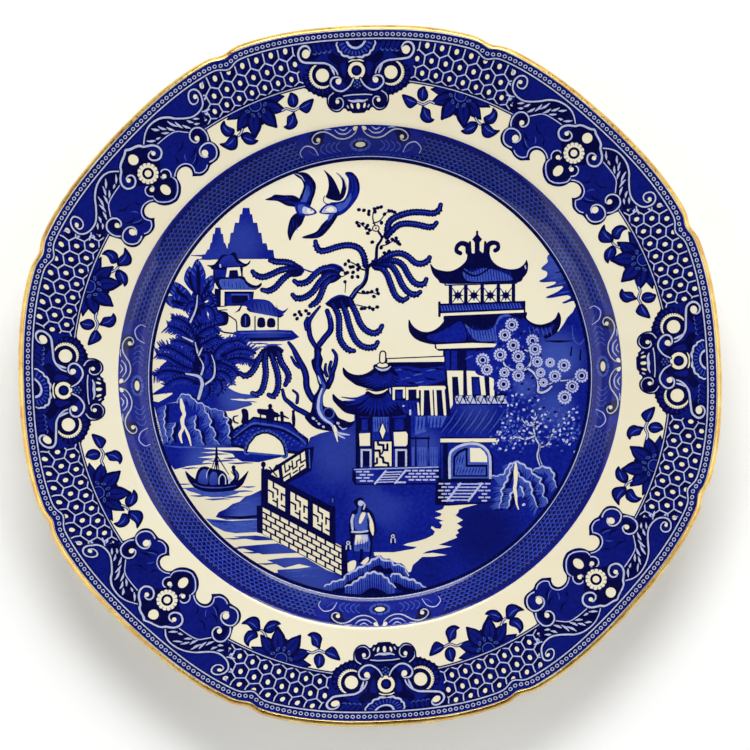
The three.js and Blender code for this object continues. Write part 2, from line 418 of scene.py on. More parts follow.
def draw_cloud_top(p):
    """The long scroll over the cloud and the line along the cloud's back."""
    p.edged([0.42, 0.52, 0.56, 0.6, 0.4], tone=PALE, points=[
        (57, 118), (56.3, 118.4), (56.4, 117), (57.6, 116.4), (58.9, 117), (59.2, 118.6), (58.4, 120.2),
        (57, 120.6), (55.6, 119.8), (54.9, 118), (55.3, 115.8), (56.4, 114.3), (58.5, 113.3), (61, 113.2),
        (63.4, 114.2), (66, 116), (68, 117.7), (70.5, 119), (73, 119.5), (75.5, 119.4), (77.6, 118.6),
        (79.2, 117.4), (80.2, 116.5)])
    p.dot(BARE, 56.9, 118.3, 0.7)
    p.line(PALE, 0.35, [(65.6, 109.6), (67, 110.9), (68.4, 112.2), (70, 112.9), (73, 113.2), (77.2, 113.3)])


def draw_cloud_body(p):
    """The cloud itself: two curls on its shoulder, a pendant and the pale line inside its edge."""
    p.blob(DEEP, [(62.2, 108.4), (64.4, 108.8), (65.6, 107), (65.2, 105.4), (63.4, 103.6), (61.6, 104.4)])
    p.edged(0.54, tone=PALE, points=[
        (61.3, 103.1), (60.5, 104.6), (60.4, 106.6), (61.2, 108.6), (63.2, 109.6), (65.2, 109),
        (66.3, 107.4), (66.1, 105.8), (65, 104.9), (63.9, 105.3)])
    p.dot(BARE, 64.2, 106.1, 0.92)
    p.edged(0.54, tone=PALE, points=[
        (65.6, 96.7), (64.2, 96.5), (62.4, 96.8), (61, 98), (60.3, 99.8), (60.7, 101.6), (62, 102.6),
        (64, 102.9), (66, 102.2), (66.9, 100.6), (66.2, 99.1), (65, 98.7)])
    p.dot(BARE, 65.1, 100.2, 1.3)
    for width, points in (
            (0.4, [(67.2, 96.3), (68.4, 95.6), (70, 95.4), (71.6, 95.8), (72.8, 96.8)]),
            (0.4, [(73, 97), (72.3, 98.6), (72.4, 100), (73.4, 101.4), (75, 102.2), (77, 102.3),
                   (78.8, 101.7), (80, 100.9)]),
            (0.44, [(80.9, 101), (80.8, 99.4), (81.8, 97.9), (83, 96.8), (84.4, 95.9), (86.4, 95.4)]),
            (0.44, [(81.2, 101.6), (80.3, 102.8), (80.3, 104.2), (81.2, 105.3), (82.6, 105.5), (83.9, 104.7),
                    (83.9, 103.2)])):
        p.line(PALE, width, points)
    p.dot(BARE, 82.9, 103.5, 0.85)
    draw_tapers(p, [
        (DEEP, 0.3, 1.1, [(67.6, 101.6), (69.4, 99.8), (71.4, 98.8)]),
        (DEEP, 0.3, 0.9, [(66.6, 103.8), (68.6, 102.4), (70.4, 102.2)]),
        (LIGHT, 0.15, 0.35, [(68.2, 101.8), (69.8, 100.5), (71.4, 100)]),
        (LIGHT, 0.15, 0.35, [(71.4, 104.4), (72.4, 103.2), (72.6, 102.2)]),
        (DEEP, 0.2, 0.8, [(74.8, 105.8), (75.2, 104.2), (76, 103.4)]),
        (DEEP, 0.2, 0.7, [(68.6, 108.8), (70.6, 106.8), (73.4, 106.4)])])


def draw_cloud_flower(p):
    """The round flower on the cloud's axis, the two white ovals and the hat scroll."""
    p.dot(DEEP, *CLOUD_FLOWER, 4.7)
    for petal in range(CLOUD_PETALS):
        p.dot(BARE, *polar(CLOUD_FLOWER, 3, 2 * math.pi * (petal + 0.5) / CLOUD_PETALS), 0.86)
    p.ring(BARE, *CLOUD_FLOWER, 2.6, 0.9)
    for petal in range(CLOUD_PETALS):
        p.bar(LIGHT, 0.2, spoke(CLOUD_FLOWER, 2.9, 3.7, 2 * math.pi * petal / CLOUD_PETALS))
    p.dot(DEEP, *CLOUD_FLOWER, 1.9)
    p.dot(BARE, *CLOUD_FLOWER, 1.25)
    p.edged_dot(BORDER_SPAN, 115.35, 1.75, 1.9, edge=1)
    p.edged_dot(BORDER_SPAN, 99.9, 1.75, 2.15, edge=0.9)
    p.edged([0.7, 0.7, 0.66, 0.5], tone=PALE, points=[
        (86.9, 119.3), (86.2, 119.1), (85, 118.4), (82.8, 117.7), (81.5, 117), (80.7, 115.9), (79.6, 115.2),
        (78.2, 114.2), (77.2, 112.7), (77.1, 111), (77.9, 109.8), (79.4, 109.1), (81, 109.6), (82, 110.8),
        (82, 112.2), (81, 113), (79.8, 112.9)])
    p.dot(BARE, 79.9, 111.9, 0.8)


def draw_beaded_edge(p):
    """The outermost band: a row of rings between the rim and a white line."""
    line = along_edge(EDGE_LINE_R, EDGE_LINE_NOTCH)
    p.fill(BLUE, line + [(90, 130), (-4, 130)])
    p.bar(DEEP, 0.5, along_edge(EDGE_LINE_R + 0.45, EDGE_LINE_NOTCH))
    p.bar(DEEP, 0.5, along_edge(EDGE_LINE_R - 0.42, EDGE_LINE_NOTCH))
    p.bar(PALE, 0.46, line)
    count = round(BORDER_SPAN / BEAD_PITCH)
    for bead in range(-1, count + 1):
        x = (bead + 0.5) * BORDER_SPAN / count
        y = BEAD_R + edge_rise(x, 1.5)
        p.dot(DEEP, x, y, 0.92)
        p.ring(PALE, x, y, 0.55, 0.28)
    p.fill(BARE, along_edge(PRINT_EDGE_R) + [(90, 132), (-4, 132)])


def draw_border():
    p = Print()
    p.box(BLUE, -2, 94, 89, 125)
    draw_honeycomb(p)
    p.fill(BLUE, [(-2, 124), (-2, 102), (12.3, 101.7), (19.5, 106.5), (20.2, 112), (20.6, 124)])
    p.blob(DEEP, [
        (7, 120.8), (10, 117.8), (14, 115.6), (16, 114.2), (19.8, 115.4), (20.6, 118), (20.4, 123),
        (14, 123)])
    p.blob(DEEP, [(3.4, 114.6), (6, 115.8), (8.2, 117.2), (9.6, 115.6), (8, 113.4), (5, 112.2)])
    draw_cloud_ground(p)
    draw_shell(p)
    draw_stem(p)
    draw_eye(p)
    draw_long_scroll(p)
    draw_cup(p)
    draw_lower_scroll(p)
    draw_stem_scroll(p)
    p.bar(DEEP, 1.3, border_foot())
    p.fill(BARE, border_foot() + [(89, 90), (-2, 90)])
    draw_lower_flower(p)
    draw_lower_leaves(p)
    draw_cloud_body(p)
    draw_cloud_top(p)
    draw_cloud_flower(p)
    p.shapes = [(outline + (0, PRINT_RISE), tone) for outline, tone in p.shapes]
    draw_beaded_edge(p)
    return p


# ---------------------------------------------------------------------------
# Band print on the wall of the well. One eighth is drawn, from a cartouche's
# axis (across = 0) to half way to the next; across is measured on a circle
# of BAND_RULER_R.
# ---------------------------------------------------------------------------
BAND_RULER_R = 85
BAND_SPAN = BAND_RULER_R * math.pi / 4
BAND_INNER_R = 79.3
BAND_OUTER_R = 90.85
BAND_RISE = 0.6
SCALE_PITCH = 1.95
SCALE_ROW = 1.2
SCALE_DROP = 0.62
BAND_FLOWER_R = 83.75
INNER_LINE_R = 80.35


def draw_fish_scales(p):
    """Rows of small scales that fill the band: a light U and a dark dot each."""
    count = round(BAND_SPAN / SCALE_PITCH)
    pitch = BAND_SPAN / count
    for row in range(7):
        radius = 88.2 - row * SCALE_ROW
        for scale in range(-1, count + 2):
            x = (scale + 0.5 * (row % 2)) * pitch
            p.dot(DEEP, x, radius - 0.06, 0.55, 0.42)
            p.bar(LIGHT, 0.2, [(x - 0.5 * pitch, radius), (x - 0.25 * pitch, radius - SCALE_DROP),
                               (x + 0.25 * pitch, radius - SCALE_DROP), (x + 0.5 * pitch, radius)])


def draw_band_cartouche(p):
    """The pale scrollwork and the oval flower on the cartouche's axis."""
    p.fill(BLUE, [(-2, 90), (19, 90), (22, 88.6), (23.4, 86.4), (22, 82), (18.6, 80.8), (-2, 80.8)])
    p.blob(DEEP, [(12, 89.4), (14.6, 90), (17.2, 89.2), (17.8, 87.2), (16.6, 85.4), (14, 85.2), (13, 86.8)])
    p.edged([0.3, 0.45, 0.5, 0.4, 0.4], tone=PALE, edge=0.25, points=[
        (1.1, 89.8), (1.3, 88.2), (3, 86.7), (5.5, 86), (8, 86.5), (9.8, 87.8), (11.6, 89), (13.6, 89.4),
        (15.6, 88.9), (16.9, 87.6), (16.7, 86.4), (15.6, 85.8), (14.5, 86.2)])
    p.dot(BARE, 14.8, 87, 0.75, 0.7)
    p.blob(BARE, [(0.7, 89.8), (1, 88.8), (1.9, 88.4), (2.4, 89.1), (1.8, 89.8)])
    p.line(PALE, [0.2, 0.5, 0.2], [(2.9, 88.8), (4.8, 87.6), (7.2, 87.9), (8.6, 89.3)])
    p.line(PALE, [0.2, 0.45, 0.2], [(4.2, 89.6), (5.6, 88.8), (7, 89.5)])
    p.line(PALE, [0.2, 0.4, 0.2], [(9.8, 89.6), (11, 89.9), (12.2, 89.9)])
    p.line(PALE, [0.2, 0.34, 0.38, 0.3, 0.2], [
        (15.9, 82.1), (17.1, 84.8), (19.8, 86), (22.2, 84.5), (22, 82.7)])
    p.line(LIGHT, [0.2, 0.3, 0.2], [(16.1, 82), (18, 83), (19.2, 84.4)])
    for lobe in range(13):
        turn = 2 * math.pi * lobe / 13
        p.dot(LIGHT, 3.4 * math.cos(turn), BAND_FLOWER_R + 1.75 * math.sin(turn), 0.72, 0.5,
              math.degrees(turn) + 90)
    p.dot(DEEP, 0, BAND_FLOWER_R, 2.75, 1.35)
    p.dot(BARE, 0, 83.8, 1.85, 0.85)
    for x in (7.4, 9.2, 11.2, 13.2):
        p.line(LIGHT, 0.34, [(x, 85.2), (x + 1.3, 84.2), (x + 1.3, 83), (x, 82)])


def draw_band():
    p = Print()
    p.box(BLUE, -2, BAND_INNER_R, 69, BAND_OUTER_R)
    draw_fish_scales(p)
    p.box(BLUE, -2, 88.9, 69, 91)
    for tuft in range(60):
        x = 19.5 + 0.84 * tuft
        p.bar(DEEP, [0.5, 0.2], [(x, 88.7), (x + 0.25, 89.7)])
    draw_band_cartouche(p)
    p.shapes = [(outline + (0, BAND_RISE), tone) for outline, tone in p.shapes]
    p.box(DEEP, -2, 81, 69, BAND_INNER_R)
    for tone, width in ((LIGHT, 0.5), (PALE, 0.24)):
        p.bar(tone, width, [(-2, INNER_LINE_R), (69, INNER_LINE_R)])
    return p


# ---------------------------------------------------------------------------
# The landscape in the middle of the plate: x to the right and y up as it is
# looked at, from the plate's centre. Drawn from the far things to the near.
# ---------------------------------------------------------------------------
SCENE_R = BAND_INNER_R
SCENE_SCALE = 1.0114
SCENE_SHIFT = (0.6, 0.25)


def along(points, pitch):
    """Places one pitch apart along a rounded curve, each with its heading in degrees."""
    curve = smooth(points, step=0.25)
    moves = np.diff(curve, axis=0)
    reach = np.concatenate([[0], np.cumsum(np.linalg.norm(moves, axis=1))])
    places = []
    for distance in np.arange(pitch / 2, reach[-1], pitch):
        k = min(int(np.searchsorted(reach, distance)), len(moves)) - 1
        places.append((*curve[k], math.degrees(math.atan2(moves[k][1], moves[k][0]))))
    return places


def draw_strokes(p, tone, width, starts, run):
    """Short parallel tapered strokes, from each start along the same run."""
    for x, y in starts:
        p.bar(tone, [0.3 * width, width, 0.3 * width], [
            (x, y), (x + run[0] / 2, y + run[1] / 2), (x + run[0], y + run[1])])


def scattered(count, x0, x1, y0, y1, seed):
    """Repeatable loosely spread places in a box."""
    spots = []
    for k in range(count):
        u = (0.618034 * k + 0.37 * seed) % 1
        v = (k + 0.5 + 0.35 * math.sin(7.3 * k + seed)) / count
        spots.append((x0 + (x1 - x0) * u, y0 + (y1 - y0) * v))
    return spots


# --- far trees and the left pagoda -----------------------------------------
def draw_fir(p, x, steps):
    """A fir as a stack of steps; each step is its top and its half widths at top and foot."""
    right, left = [], []
    for (top, head, foot), below in zip(steps[:-1], steps[1:]):
        right += [(x + head, top), (x + foot, below[0])]
        left += [(x - head, top), (x - foot, below[0])]
    p.fill(BLUE, right + left[::-1])


def draw_firs(p):
    draw_fir(p, -55.3, [
        (53.5, 0.9, 1.2), (51.2, 1.8, 2.2), (48, 2.6, 3.1), (45.6, 3.7, 4.6), (43.8, 5.4, 6), (41.9, 0, 0)])
    draw_fir(p, -45.2, [
        (60.6, 1.2, 1.5), (58.3, 2.2, 2.6), (55.2, 4, 4.6), (51.6, 5.5, 6), (47.8, 7.4, 7.9),
        (45.4, 9.8, 10.3), (42.1, 0, 0)])
    p.bar(BLUE, [1, 0.2], [(-58, 43.2), (-64.9, 43.4)])
    p.bar(BLUE, [0.9, 0.2], [(-58, 42.2), (-62.6, 42)])
    p.bar(BARE, [0.9, 0.9, 0.2], [(-52.5, 49), (-52.1, 47.6), (-51.9, 46)])


def draw_left_roofs(p):
    p.blob(DEEP, [
        (-59.2, 39.9), (-56.6, 40.2), (-53.9, 43.5), (-51.5, 43.6), (-49.6, 44.6), (-48.7, 44.1),
        (-48.3, 42.6), (-46.8, 41.1), (-45, 40.4), (-43.6, 41.7), (-43.9, 40.4), (-45.5, 39.3), (-48, 38.8),
        (-52, 38.6), (-57, 38.2), (-57.8, 39)])
    p.blob(BLUE, [(-53.6, 42.6), (-50.2, 43.4), (-48.2, 40.6), (-46, 40), (-50, 39.4), (-54.6, 39.6)])
    p.bar(PALE, 0.5, [(-54.5, 40), (-54.3, 38.8)])
    p.box(DEEP, -57, 39, -46.3, 34.6)
    p.fill(BLUE, [(-56.5, 38.2), (-47, 38.4), (-47, 34.9), (-56.2, 34.9)])
    p.bar(BARE, 1, [(-52, 35.2), (-51.5, 38.5), (-47.8, 38.7), (-47.3, 35.8)])
    p.fill(DEEP, [(-51, 35.2), (-50.8, 38), (-48.4, 38.1), (-48.2, 35.2)])
    p.blob(DEEP, [
        (-56.4, 35.3), (-51, 35.6), (-46.3, 35.9), (-44.8, 34.1), (-43, 32.9), (-41.2, 32.6), (-39.6, 33.6),
        (-39.8, 32.2), (-42, 30.9), (-44, 30.1), (-48, 29.7), (-52, 29.9), (-54.4, 30.8), (-56, 33)])
    p.blob(LIGHT, [
        (-54.6, 34.6), (-50.5, 34.9), (-46.7, 34.9), (-45, 32.8), (-43, 31.6), (-41, 31.8), (-44, 30.8),
        (-48, 30.5), (-52, 30.7), (-54, 31.8)])
    draw_strokes(p, BLUE, 0.3, [(-53 + 1.4 * k, 34.2 - 0.12 * k) for k in range(7)], (0.4, -3))
    p.line(DEEP, [0.5, 0.3], [(-56.4, 34), (-57.8, 31), (-60, 30)])


def draw_left_storeys(p):
    p.fill(BARE, [(-58.4, 31), (-42, 31), (-42.6, 24.5), (-58.6, 24.4)])
    p.fill(DEEP, [(-56.4, 31.5), (-54.2, 31.2), (-54.2, 24.6), (-56.6, 24.8)])
    p.bar(LIGHT, 0.5, [(-57.6, 30.6), (-57.8, 24.6)])
    p.fill(DEEP, [(-52.9, 30.4), (-42.3, 30.4), (-42.8, 25.2), (-52.9, 25.2)])
    p.fill(BLUE, [(-52.2, 29.6), (-43, 29.6), (-43.3, 25.6), (-52.2, 25.6)])
    p.fill(DEEP, [(-50.3, 28.8), (-44.5, 28.8), (-44.6, 26.1), (-50.3, 26.1)])
    p.bar(LIGHT, 0.5, [(-50.2, 29.3), (-44.4, 29.3), (-43.9, 26)])
    p.blob(BLUE, [
        (-46, 26), (-44.5, 24.4), (-43, 22.9), (-41, 22.2), (-38, 21.2), (-34.5, 21.1), (-32.5, 21.8),
        (-31, 23), (-30, 24.5), (-31.6, 23.5), (-33, 23.8), (-34.8, 25), (-36, 26.4), (-38, 27.4),
        (-42, 27.7), (-44.4, 27.3)])
    draw_strokes(p, DEEP, 0.35, [(-43.2 + 1.5 * k, 26.8 - 0.25 * k) for k in range(7)], (0.9, -3.4))
    p.line(DEEP, [0.7, 0.9, 0.5], [(-44.6, 24.2), (-42, 22.1), (-38, 20.9), (-34, 20.9), (-31.8, 21.9)])
    p.blob(BARE, [
        (-55, 24.6), (-50.5, 25), (-47.2, 25.2), (-47.8, 23.4), (-50, 22), (-53, 22.2), (-54.8, 23)])
    p.line(DEEP, [0.4, 0.9, 0.6], [(-46.6, 25.6), (-48, 23.2), (-50, 21.9), (-52.2, 21.6)])
    p.bar(BARE, 0.9, [(-60, 23.9), (-51, 24.7)])
    p.bar(DEEP, 0.35, [(-60, 24.5), (-52, 25.2)])
    p.bar(DEEP, 0.35, [(-60, 23.3), (-52, 23.8)])
    p.blob(DEEP, [(-57.6, 23.2), (-53, 23.2), (-51.4, 22), (-51.6, 19.2), (-53, 18.1), (-57.4, 18.2)])
    p.blob(BLUE, [(-56.6, 22.2), (-54.4, 22.3), (-53.2, 21), (-53.6, 19.2), (-56.4, 19.2)])


def draw_left_ground_floor(p):
    p.fill(BARE, [(-51.4, 22), (-46.6, 23.6), (-33, 21), (-33, 16.4), (-51, 16.2)])
    p.line(DEEP, 0.45, [(-51.6, 21.9), (-49.6, 20.6), (-48.6, 19.5), (-48.4, 16.2)])
    p.line(DEEP, 0.55, [(-55.8, 18.4), (-54.4, 16.6), (-53, 15.7), (-49.5, 15.3)])
    p.blob(DEEP, [(-46.8, 17.8), (-46.9, 21.2), (-45.3, 22.6), (-43.7, 21.2), (-43.8, 17.8)])
    p.bar(LIGHT, 0.35, [(-45.3, 18.2), (-45.3, 21.4)])
    for points in ([(-40.9, 17.7), (-40.9, 20.4), (-39.7, 21.1), (-38.4, 20.4), (-38.4, 17.7)],
                   [(-37.4, 17.7), (-37.4, 20.2), (-36.1, 20.9), (-34.8, 20.2), (-34.8, 17.7)]):
        p.blob(DEEP, points)
    for x in (-41.9, -33.6):
        p.bar(DEEP, 0.45, [(x, 16.4), (x, 21.4)])
    p.fill(BLUE, [
        (-50, 15.5), (-48, 16.3), (-33, 16.6), (-28.6, 16.4), (-26, 14), (-28.4, 12.9), (-32, 12.5),
        (-44, 12.3), (-47, 12.8)])
    p.bar(DEEP, [0.5, 1.1, 0.9, 0.2], [(-48.6, 13.6), (-44, 13.2), (-34, 13.4), (-27.4, 14)])
    p.bar(LIGHT, [0.3, 0.45, 0.3], [(-47.4, 15.4), (-38, 15.6), (-29, 15.4)])
    draw_strokes(p, BLUE, 0.6, [(-43.5, 11.6), (-38.5, 11.2), (-41.2, 10.4)], (6.2, 0.1))


def draw_left_pagoda(p):
    draw_left_roofs(p)
    draw_left_storeys(p)
    draw_left_ground_floor(p)


# --- bushes and rocks on the left ------------------------------------------
def draw_upright_leaf(p, left, tip, right, foot):
    p.blob(BLUE, [foot, left, tip, right])
    middle = ((left[0] + right[0]) / 2, (left[1] + right[1]) / 2)
    p.line(DEEP, [1.4, 1.5, 0.3], [foot, middle, tip])
    for side in (left, right):
        for share in (0.15, 0.5, 0.85):
            x = side[0] + (tip[0] - side[0]) * share
            y = side[1] + (tip[1] - side[1]) * share
            p.bar(LIGHT, [0.2, 0.55, 0.1], [
                (0.5 * (x + middle[0]), y - 1.1), (0.8 * x + 0.2 * middle[0], y - 0.3), (x, y + 0.5)])


def draw_plume(p, points, width, side):
    """A curved feathery leaf: a comb of blue leaflets on a dark ground, longer on one side of its rib."""
    p.line(DEEP, np.array([0.5, 1.1, 1.2, 0.9, 0.3]) * width, points)
    for k, (x, y, heading) in enumerate(list(along(points, 0.92))[1:]):
        for turn, reach in (
                (heading + 58 * side, 0.95 + 0.1 * math.sin(1.7 * k)), (heading - 52 * side, 0.62)):
            c, s = width * math.cos(math.radians(turn)), width * math.sin(math.radians(turn))
            p.bar(BLUE, [0.7, 0.74, 0.34], [
                (x, y), (x + 0.6 * reach * c, y + 0.6 * reach * s), (x + reach * c, y + reach * s)])
            p.bar(LIGHT, [0.1, 0.26, 0.1], [
                (x + 0.5 * reach * c, y + 0.5 * reach * s), (x + 0.86 * reach * c, y + 0.86 * reach * s)])
    p.line(DEEP, np.array([0.2, 0.26, 0.2, 0.1]) * width, points)


def draw_bush_mass(p):
    p.blob(BLUE, [
        (-60.5, 29), (-59, 22), (-57.6, 17), (-55, 13), (-51, 11.6), (-47, 10.6), (-43.6, 8.4), (-44, 6.4),
        (-47.6, 4.6), (-50.6, 3), (-51.6, 0.4), (-53.5, -1.5), (-52.8, -3), (-50.5, -4.8), (-47.2, -6.2),
        (-43.2, -6.8), (-40.2, -7.8), (-45, -8.4), (-42.8, -10.2), (-46.5, -11.5), (-49.8, -12.5),
        (-53.5, -12.5), (-60, -11), (-66, -8), (-70.4, -9.4), (-78, -10.4), (-76.3, -9.4), (-71.4, -6.2),
        (-78.4, -6.8), (-77.5, -5.6), (-73, -2.4), (-76.4, -1.4), (-76, 3), (-72.6, 6), (-68.6, 8.6),
        (-67.4, 13), (-66.6, 18), (-65.6, 22), (-65, 26), (-64.4, 30), (-62, 31.5)])
    p.blob(DEEP, [
        (-62.6, 26), (-60, 16), (-56.4, 12), (-53, 9), (-55, 5), (-58, 2), (-62, 1), (-65, 5), (-65.6, 10),
        (-64, 18)])
    p.bar(BLUE, [0.2, 0.8, 0.2], [(-52.6, -8.6), (-46, -8.9), (-41.4, -9.4)])
    p.bar(BARE, [0.2, 0.8, 0.2], [(-50.5, -8.4), (-46.6, -8.6), (-42, -9)])


def draw_bush_leaves(p):
    draw_upright_leaf(p, (-72.6, 29.8), (-70.6, 33.8), (-65.8, 30.6), (-64.4, 26.2))
    draw_upright_leaf(p, (-72, 24.8), (-74.2, 28.4), (-68, 28.4), (-63.6, 24))
    draw_upright_leaf(p, (-67.4, 34.4), (-65.5, 39.4), (-62.8, 35), (-63.2, 29.6))
    draw_upright_leaf(p, (-61.4, 32.8), (-57.3, 36.2), (-56.8, 31.4), (-61, 28.4))
    draw_upright_leaf(p, (-65, 36.4), (-62.7, 42), (-59.6, 36.2), (-62.2, 29))
    plumes = [
        ([(-60.8, 27), (-58.6, 29), (-57, 27), (-57.4, 24.4)], 2.6, -1),
        ([(-62.4, 27), (-65.4, 26.4), (-67.4, 23.6)], 2.6, 1),
        ([(-61.4, 25), (-57.8, 24.6), (-56.2, 21), (-57.4, 18.6)], 3, -1),
        ([(-62, 23.6), (-63.6, 20.6), (-65.4, 19.6)], 3, 1),
        ([(-63.6, 12.7), (-64.7, 17.1), (-68.5, 20.3), (-71.8, 20.9)], 3.2, 1),
        ([(-63.6, 10.5), (-66.3, 14.8), (-70, 17.1), (-73, 18)], 3.4, 1),
        ([(-62.4, 9.4), (-66, 11.6), (-69, 12.6), (-71.6, 12.2)], 3, 1),
        ([(-63.1, 13.8), (-60.3, 16.5), (-57.1, 17.6), (-54.9, 15.4)], 3.2, -1),
        ([(-62.5, 10.5), (-59.3, 12.2), (-56, 13.8), (-53.4, 12.3)], 3.2, -1),
        ([(-53.3, 7.3), (-48.9, 9.4), (-45, 9.6), (-41.8, 8.2)], 3.2, 1),
        ([(-54.2, 8.4), (-51.4, 11.6), (-48, 12.8), (-45.2, 11.4)], 2.8, 1),
        ([(-53.3, 5.1), (-48.9, 6.4), (-44.6, 6), (-41.6, 4.8)], 2.8, -1),
        ([(-56.5, 3), (-56.6, 7.6), (-54, 11), (-51.2, 12.4)], 3.2, -1),
        ([(-63.1, 4), (-67.4, 7.3), (-72.3, 10), (-76.1, 10)], 3.2, -1),
        ([(-63.1, 1.9), (-68.5, 4), (-73.4, 7), (-77, 7.6)], 3.2, -1),
        ([(-64.2, -0.4), (-69.6, 1.4), (-74.5, 1.8), (-78, 0.2)], 3.4, 1),
        ([(-62.6, -2.6), (-66.6, -0.8), (-70.6, -1.2), (-74, -3.4)], 3, 1),
        ([(-55.4, 5.1), (-52.2, 4), (-49.2, 2.2), (-47.8, 0.2)], 3, -1),
        ([(-56.6, 1.4), (-53.6, 1.6), (-51, -0.2), (-50.2, -3)], 3, -1),
        ([(-57, -1), (-54.4, -1.8), (-53.6, -4.7), (-55.2, -7)], 3, -1),
        ([(-60.6, -1.4), (-58.4, -3.2), (-58.2, -6), (-59.6, -8.2)], 2.8, -1),
        ([(-62, 7.4), (-59, 8.6), (-58, 5), (-59.6, 2)], 2.8, -1)]
    for points, width, side in plumes:
        draw_plume(p, points, width, side)


def draw_bush_branches(p):
    branches = [[(-62.6, 29), (-63.1, 24.3), (-65.1, 19.4)], [(-68, 14.1), (-64.4, 12.4)],
                [(-63.4, 12.1), (-62.4, 8.1), (-61.7, 6.4)], [(-60.8, 10.1), (-62.1, 7.4)],
                [(-61.7, 6.4), (-60.4, 3.4), (-61.4, -0.2)],
                [(-57.4, 7.4), (-56.4, 4.1), (-56.8, -0.5), (-60.4, -3.5)]]
    for branch in branches:
        p.edged([0.3, 0.6, 0.7], branch, tone=PALE, edge=0.3)
    p.edged([0.5, 1, 1.2, 1], [(-66.7, 0.8), (-62.1, -0.2), (-60.8, -2.5), (-61.1, -4.5), (-62.1, -8.2)],
            tone=PALE, edge=0.35)


def scalloped(ridge):
    """The ridge with small even lobes along it."""
    lobed = [ridge[0]]
    for k, (x, y, heading) in enumerate(along(ridge, 0.65)):
        lobed.append(polar((x, y), 0.24 * math.sin(1.5 * k), math.radians(heading + 90)))
    return [*lobed[:-1], ridge[-1]]


def draw_rock_ridges(p, ridges, width=0.45):
    """Pale crests of folded rock, each with its shade beside it and close hatching under it."""
    for ridge in ridges:
        p.line(DEEP, [0.9, 1.7, 0.7], [(x + 0.9, y - 0.6) for x, y in ridge])
    for ridge in ridges:
        for k, (x, y, heading) in enumerate(along(ridge, 0.6)):
            length = 3.1 + 0.6 * math.sin(1.3 * k)
            hatch = spoke((x, y), 0.5 * length, length, math.radians(heading - 62))
            p.bar(LIGHT, [0.54, 0.4, 0.1], [(x, y), *hatch])
    for ridge in ridges:
        crest = scalloped(ridge)
        p.line(LIGHT, [0.6 * width, 1.6 * width, 1.5 * width, 0.6 * width], crest)
        p.line(PALE, [0.3 * width, 0.85 * width, 0.7 * width, 0.2 * width], crest)


def draw_left_rocks(p):
    p.fill(BLUE, [
        (-78.5, -9), (-74, -10), (-69.7, -9.5), (-67, -6.4), (-63.1, -9.2), (-58.4, -11.5), (-53.5, -12.5),
        (-50.8, -16), (-49.4, -20), (-48.6, -24), (-55, -25.2), (-66, -25.6), (-74.4, -25), (-76, -18)])
    draw_rock_ridges(p, [
        [(-69.7, -9.8), (-69, -7.5), (-67.1, -6.5), (-64.7, -7.5), (-63.1, -9.2), (-60.4, -10.2),
         (-58.4, -11.5), (-53.5, -12.5)],
        [(-74, -10.5), (-74.4, -15.8), (-74.2, -18.8), (-73, -23.8)],
        [(-70.4, -16.8), (-71, -18.4), (-71.7, -21.4), (-71, -23.1)],
        [(-60.4, -10.8), (-59.4, -13.1), (-57.8, -15.5), (-57.8, -18.1), (-56.1, -20.1), (-56.4, -22.4),
         (-54.5, -24.7)],
        [(-63.1, -14.1), (-63.4, -18.4), (-61.4, -20.4), (-61.1, -22.8), (-60.1, -24.7)],
        [(-53.5, -12.5), (-52.8, -14.5), (-51.5, -15.5), (-51.8, -17.1), (-50.8, -19.4), (-51.5, -21.1),
         (-49.8, -23.8)]])
    p.line(BARE, [0.8, 1.7, 1.2, 1.5, 1, 1.2, 0.5], [
        (-68.4, -8.4), (-67.7, -12.1), (-67.2, -13.8), (-67.9, -15.8), (-67.7, -18.8), (-68.7, -21.1),
        (-68, -24)])
    p.line(BARE, [0.6, 1, 0.4], [(-67.4, -17.6), (-65.7, -21.4), (-64.7, -25.1)])


# --- bridge, boat and the left bank ----------------------------------------
def draw_bridge(p):
    p.fill(DEEP, [
        (-50.6, -20), (-48.1, -18.1), (-44.8, -16.5), (-42.5, -14.6), (-38.2, -15.1), (-34.9, -15.9),
        (-29.2, -16.6), (-26, -20.2), (-22.6, -22.6), (-23, -28.6), (-31.6, -27.6), (-45, -26.6),
        (-50.4, -25)])
    p.fill(BLUE, [
        (-49.6, -20.2), (-44.6, -17.2), (-42.3, -15.4), (-35, -16.6), (-29.5, -17.4), (-26.4, -20.8),
        (-23.4, -23.4), (-23.6, -27.4), (-49.8, -24.6)])
    for x, y in scattered(70, -49, -24.5, -25.4, -17.4, 2):
        if y < -16.6 - 0.14 * abs(x + 40) ** 1.2:
            p.dot(LIGHT, x, y, 0.36, 0.24, 30)
    p.line(DEEP, 0.9, [
        (-50.2, -23.1), (-46.2, -20.3), (-42.5, -18.1), (-38.2, -18.4), (-31.6, -19.8), (-26, -23)])
    p.line(LIGHT, [0.4, 0.7, 0.7, 0.4], [
        (-49.5, -22.1), (-46.2, -19.4), (-42.5, -17.1), (-38.2, -17.4), (-31.6, -18.8), (-26, -22.1),
        (-23.6, -24.4)])
    arch = [(-44.6, -27.2), (-43.8, -24.7), (-42.5, -23.1), (-41.5, -21.8), (-39.2, -20.8), (-37.2, -20.8),
            (-34.9, -21.8), (-32.9, -23.4), (-31.9, -25.1), (-31.2, -28.4)]
    p.line(LIGHT, 2.6, arch)
    for x, y, heading in along(arch, 1.3):
        p.bar(DEEP, 0.3, [(x, y), polar((x, y), 1.3, math.radians(heading + 90))])
    p.line(DEEP, 1.2, arch)
    p.fill(BARE, arch)


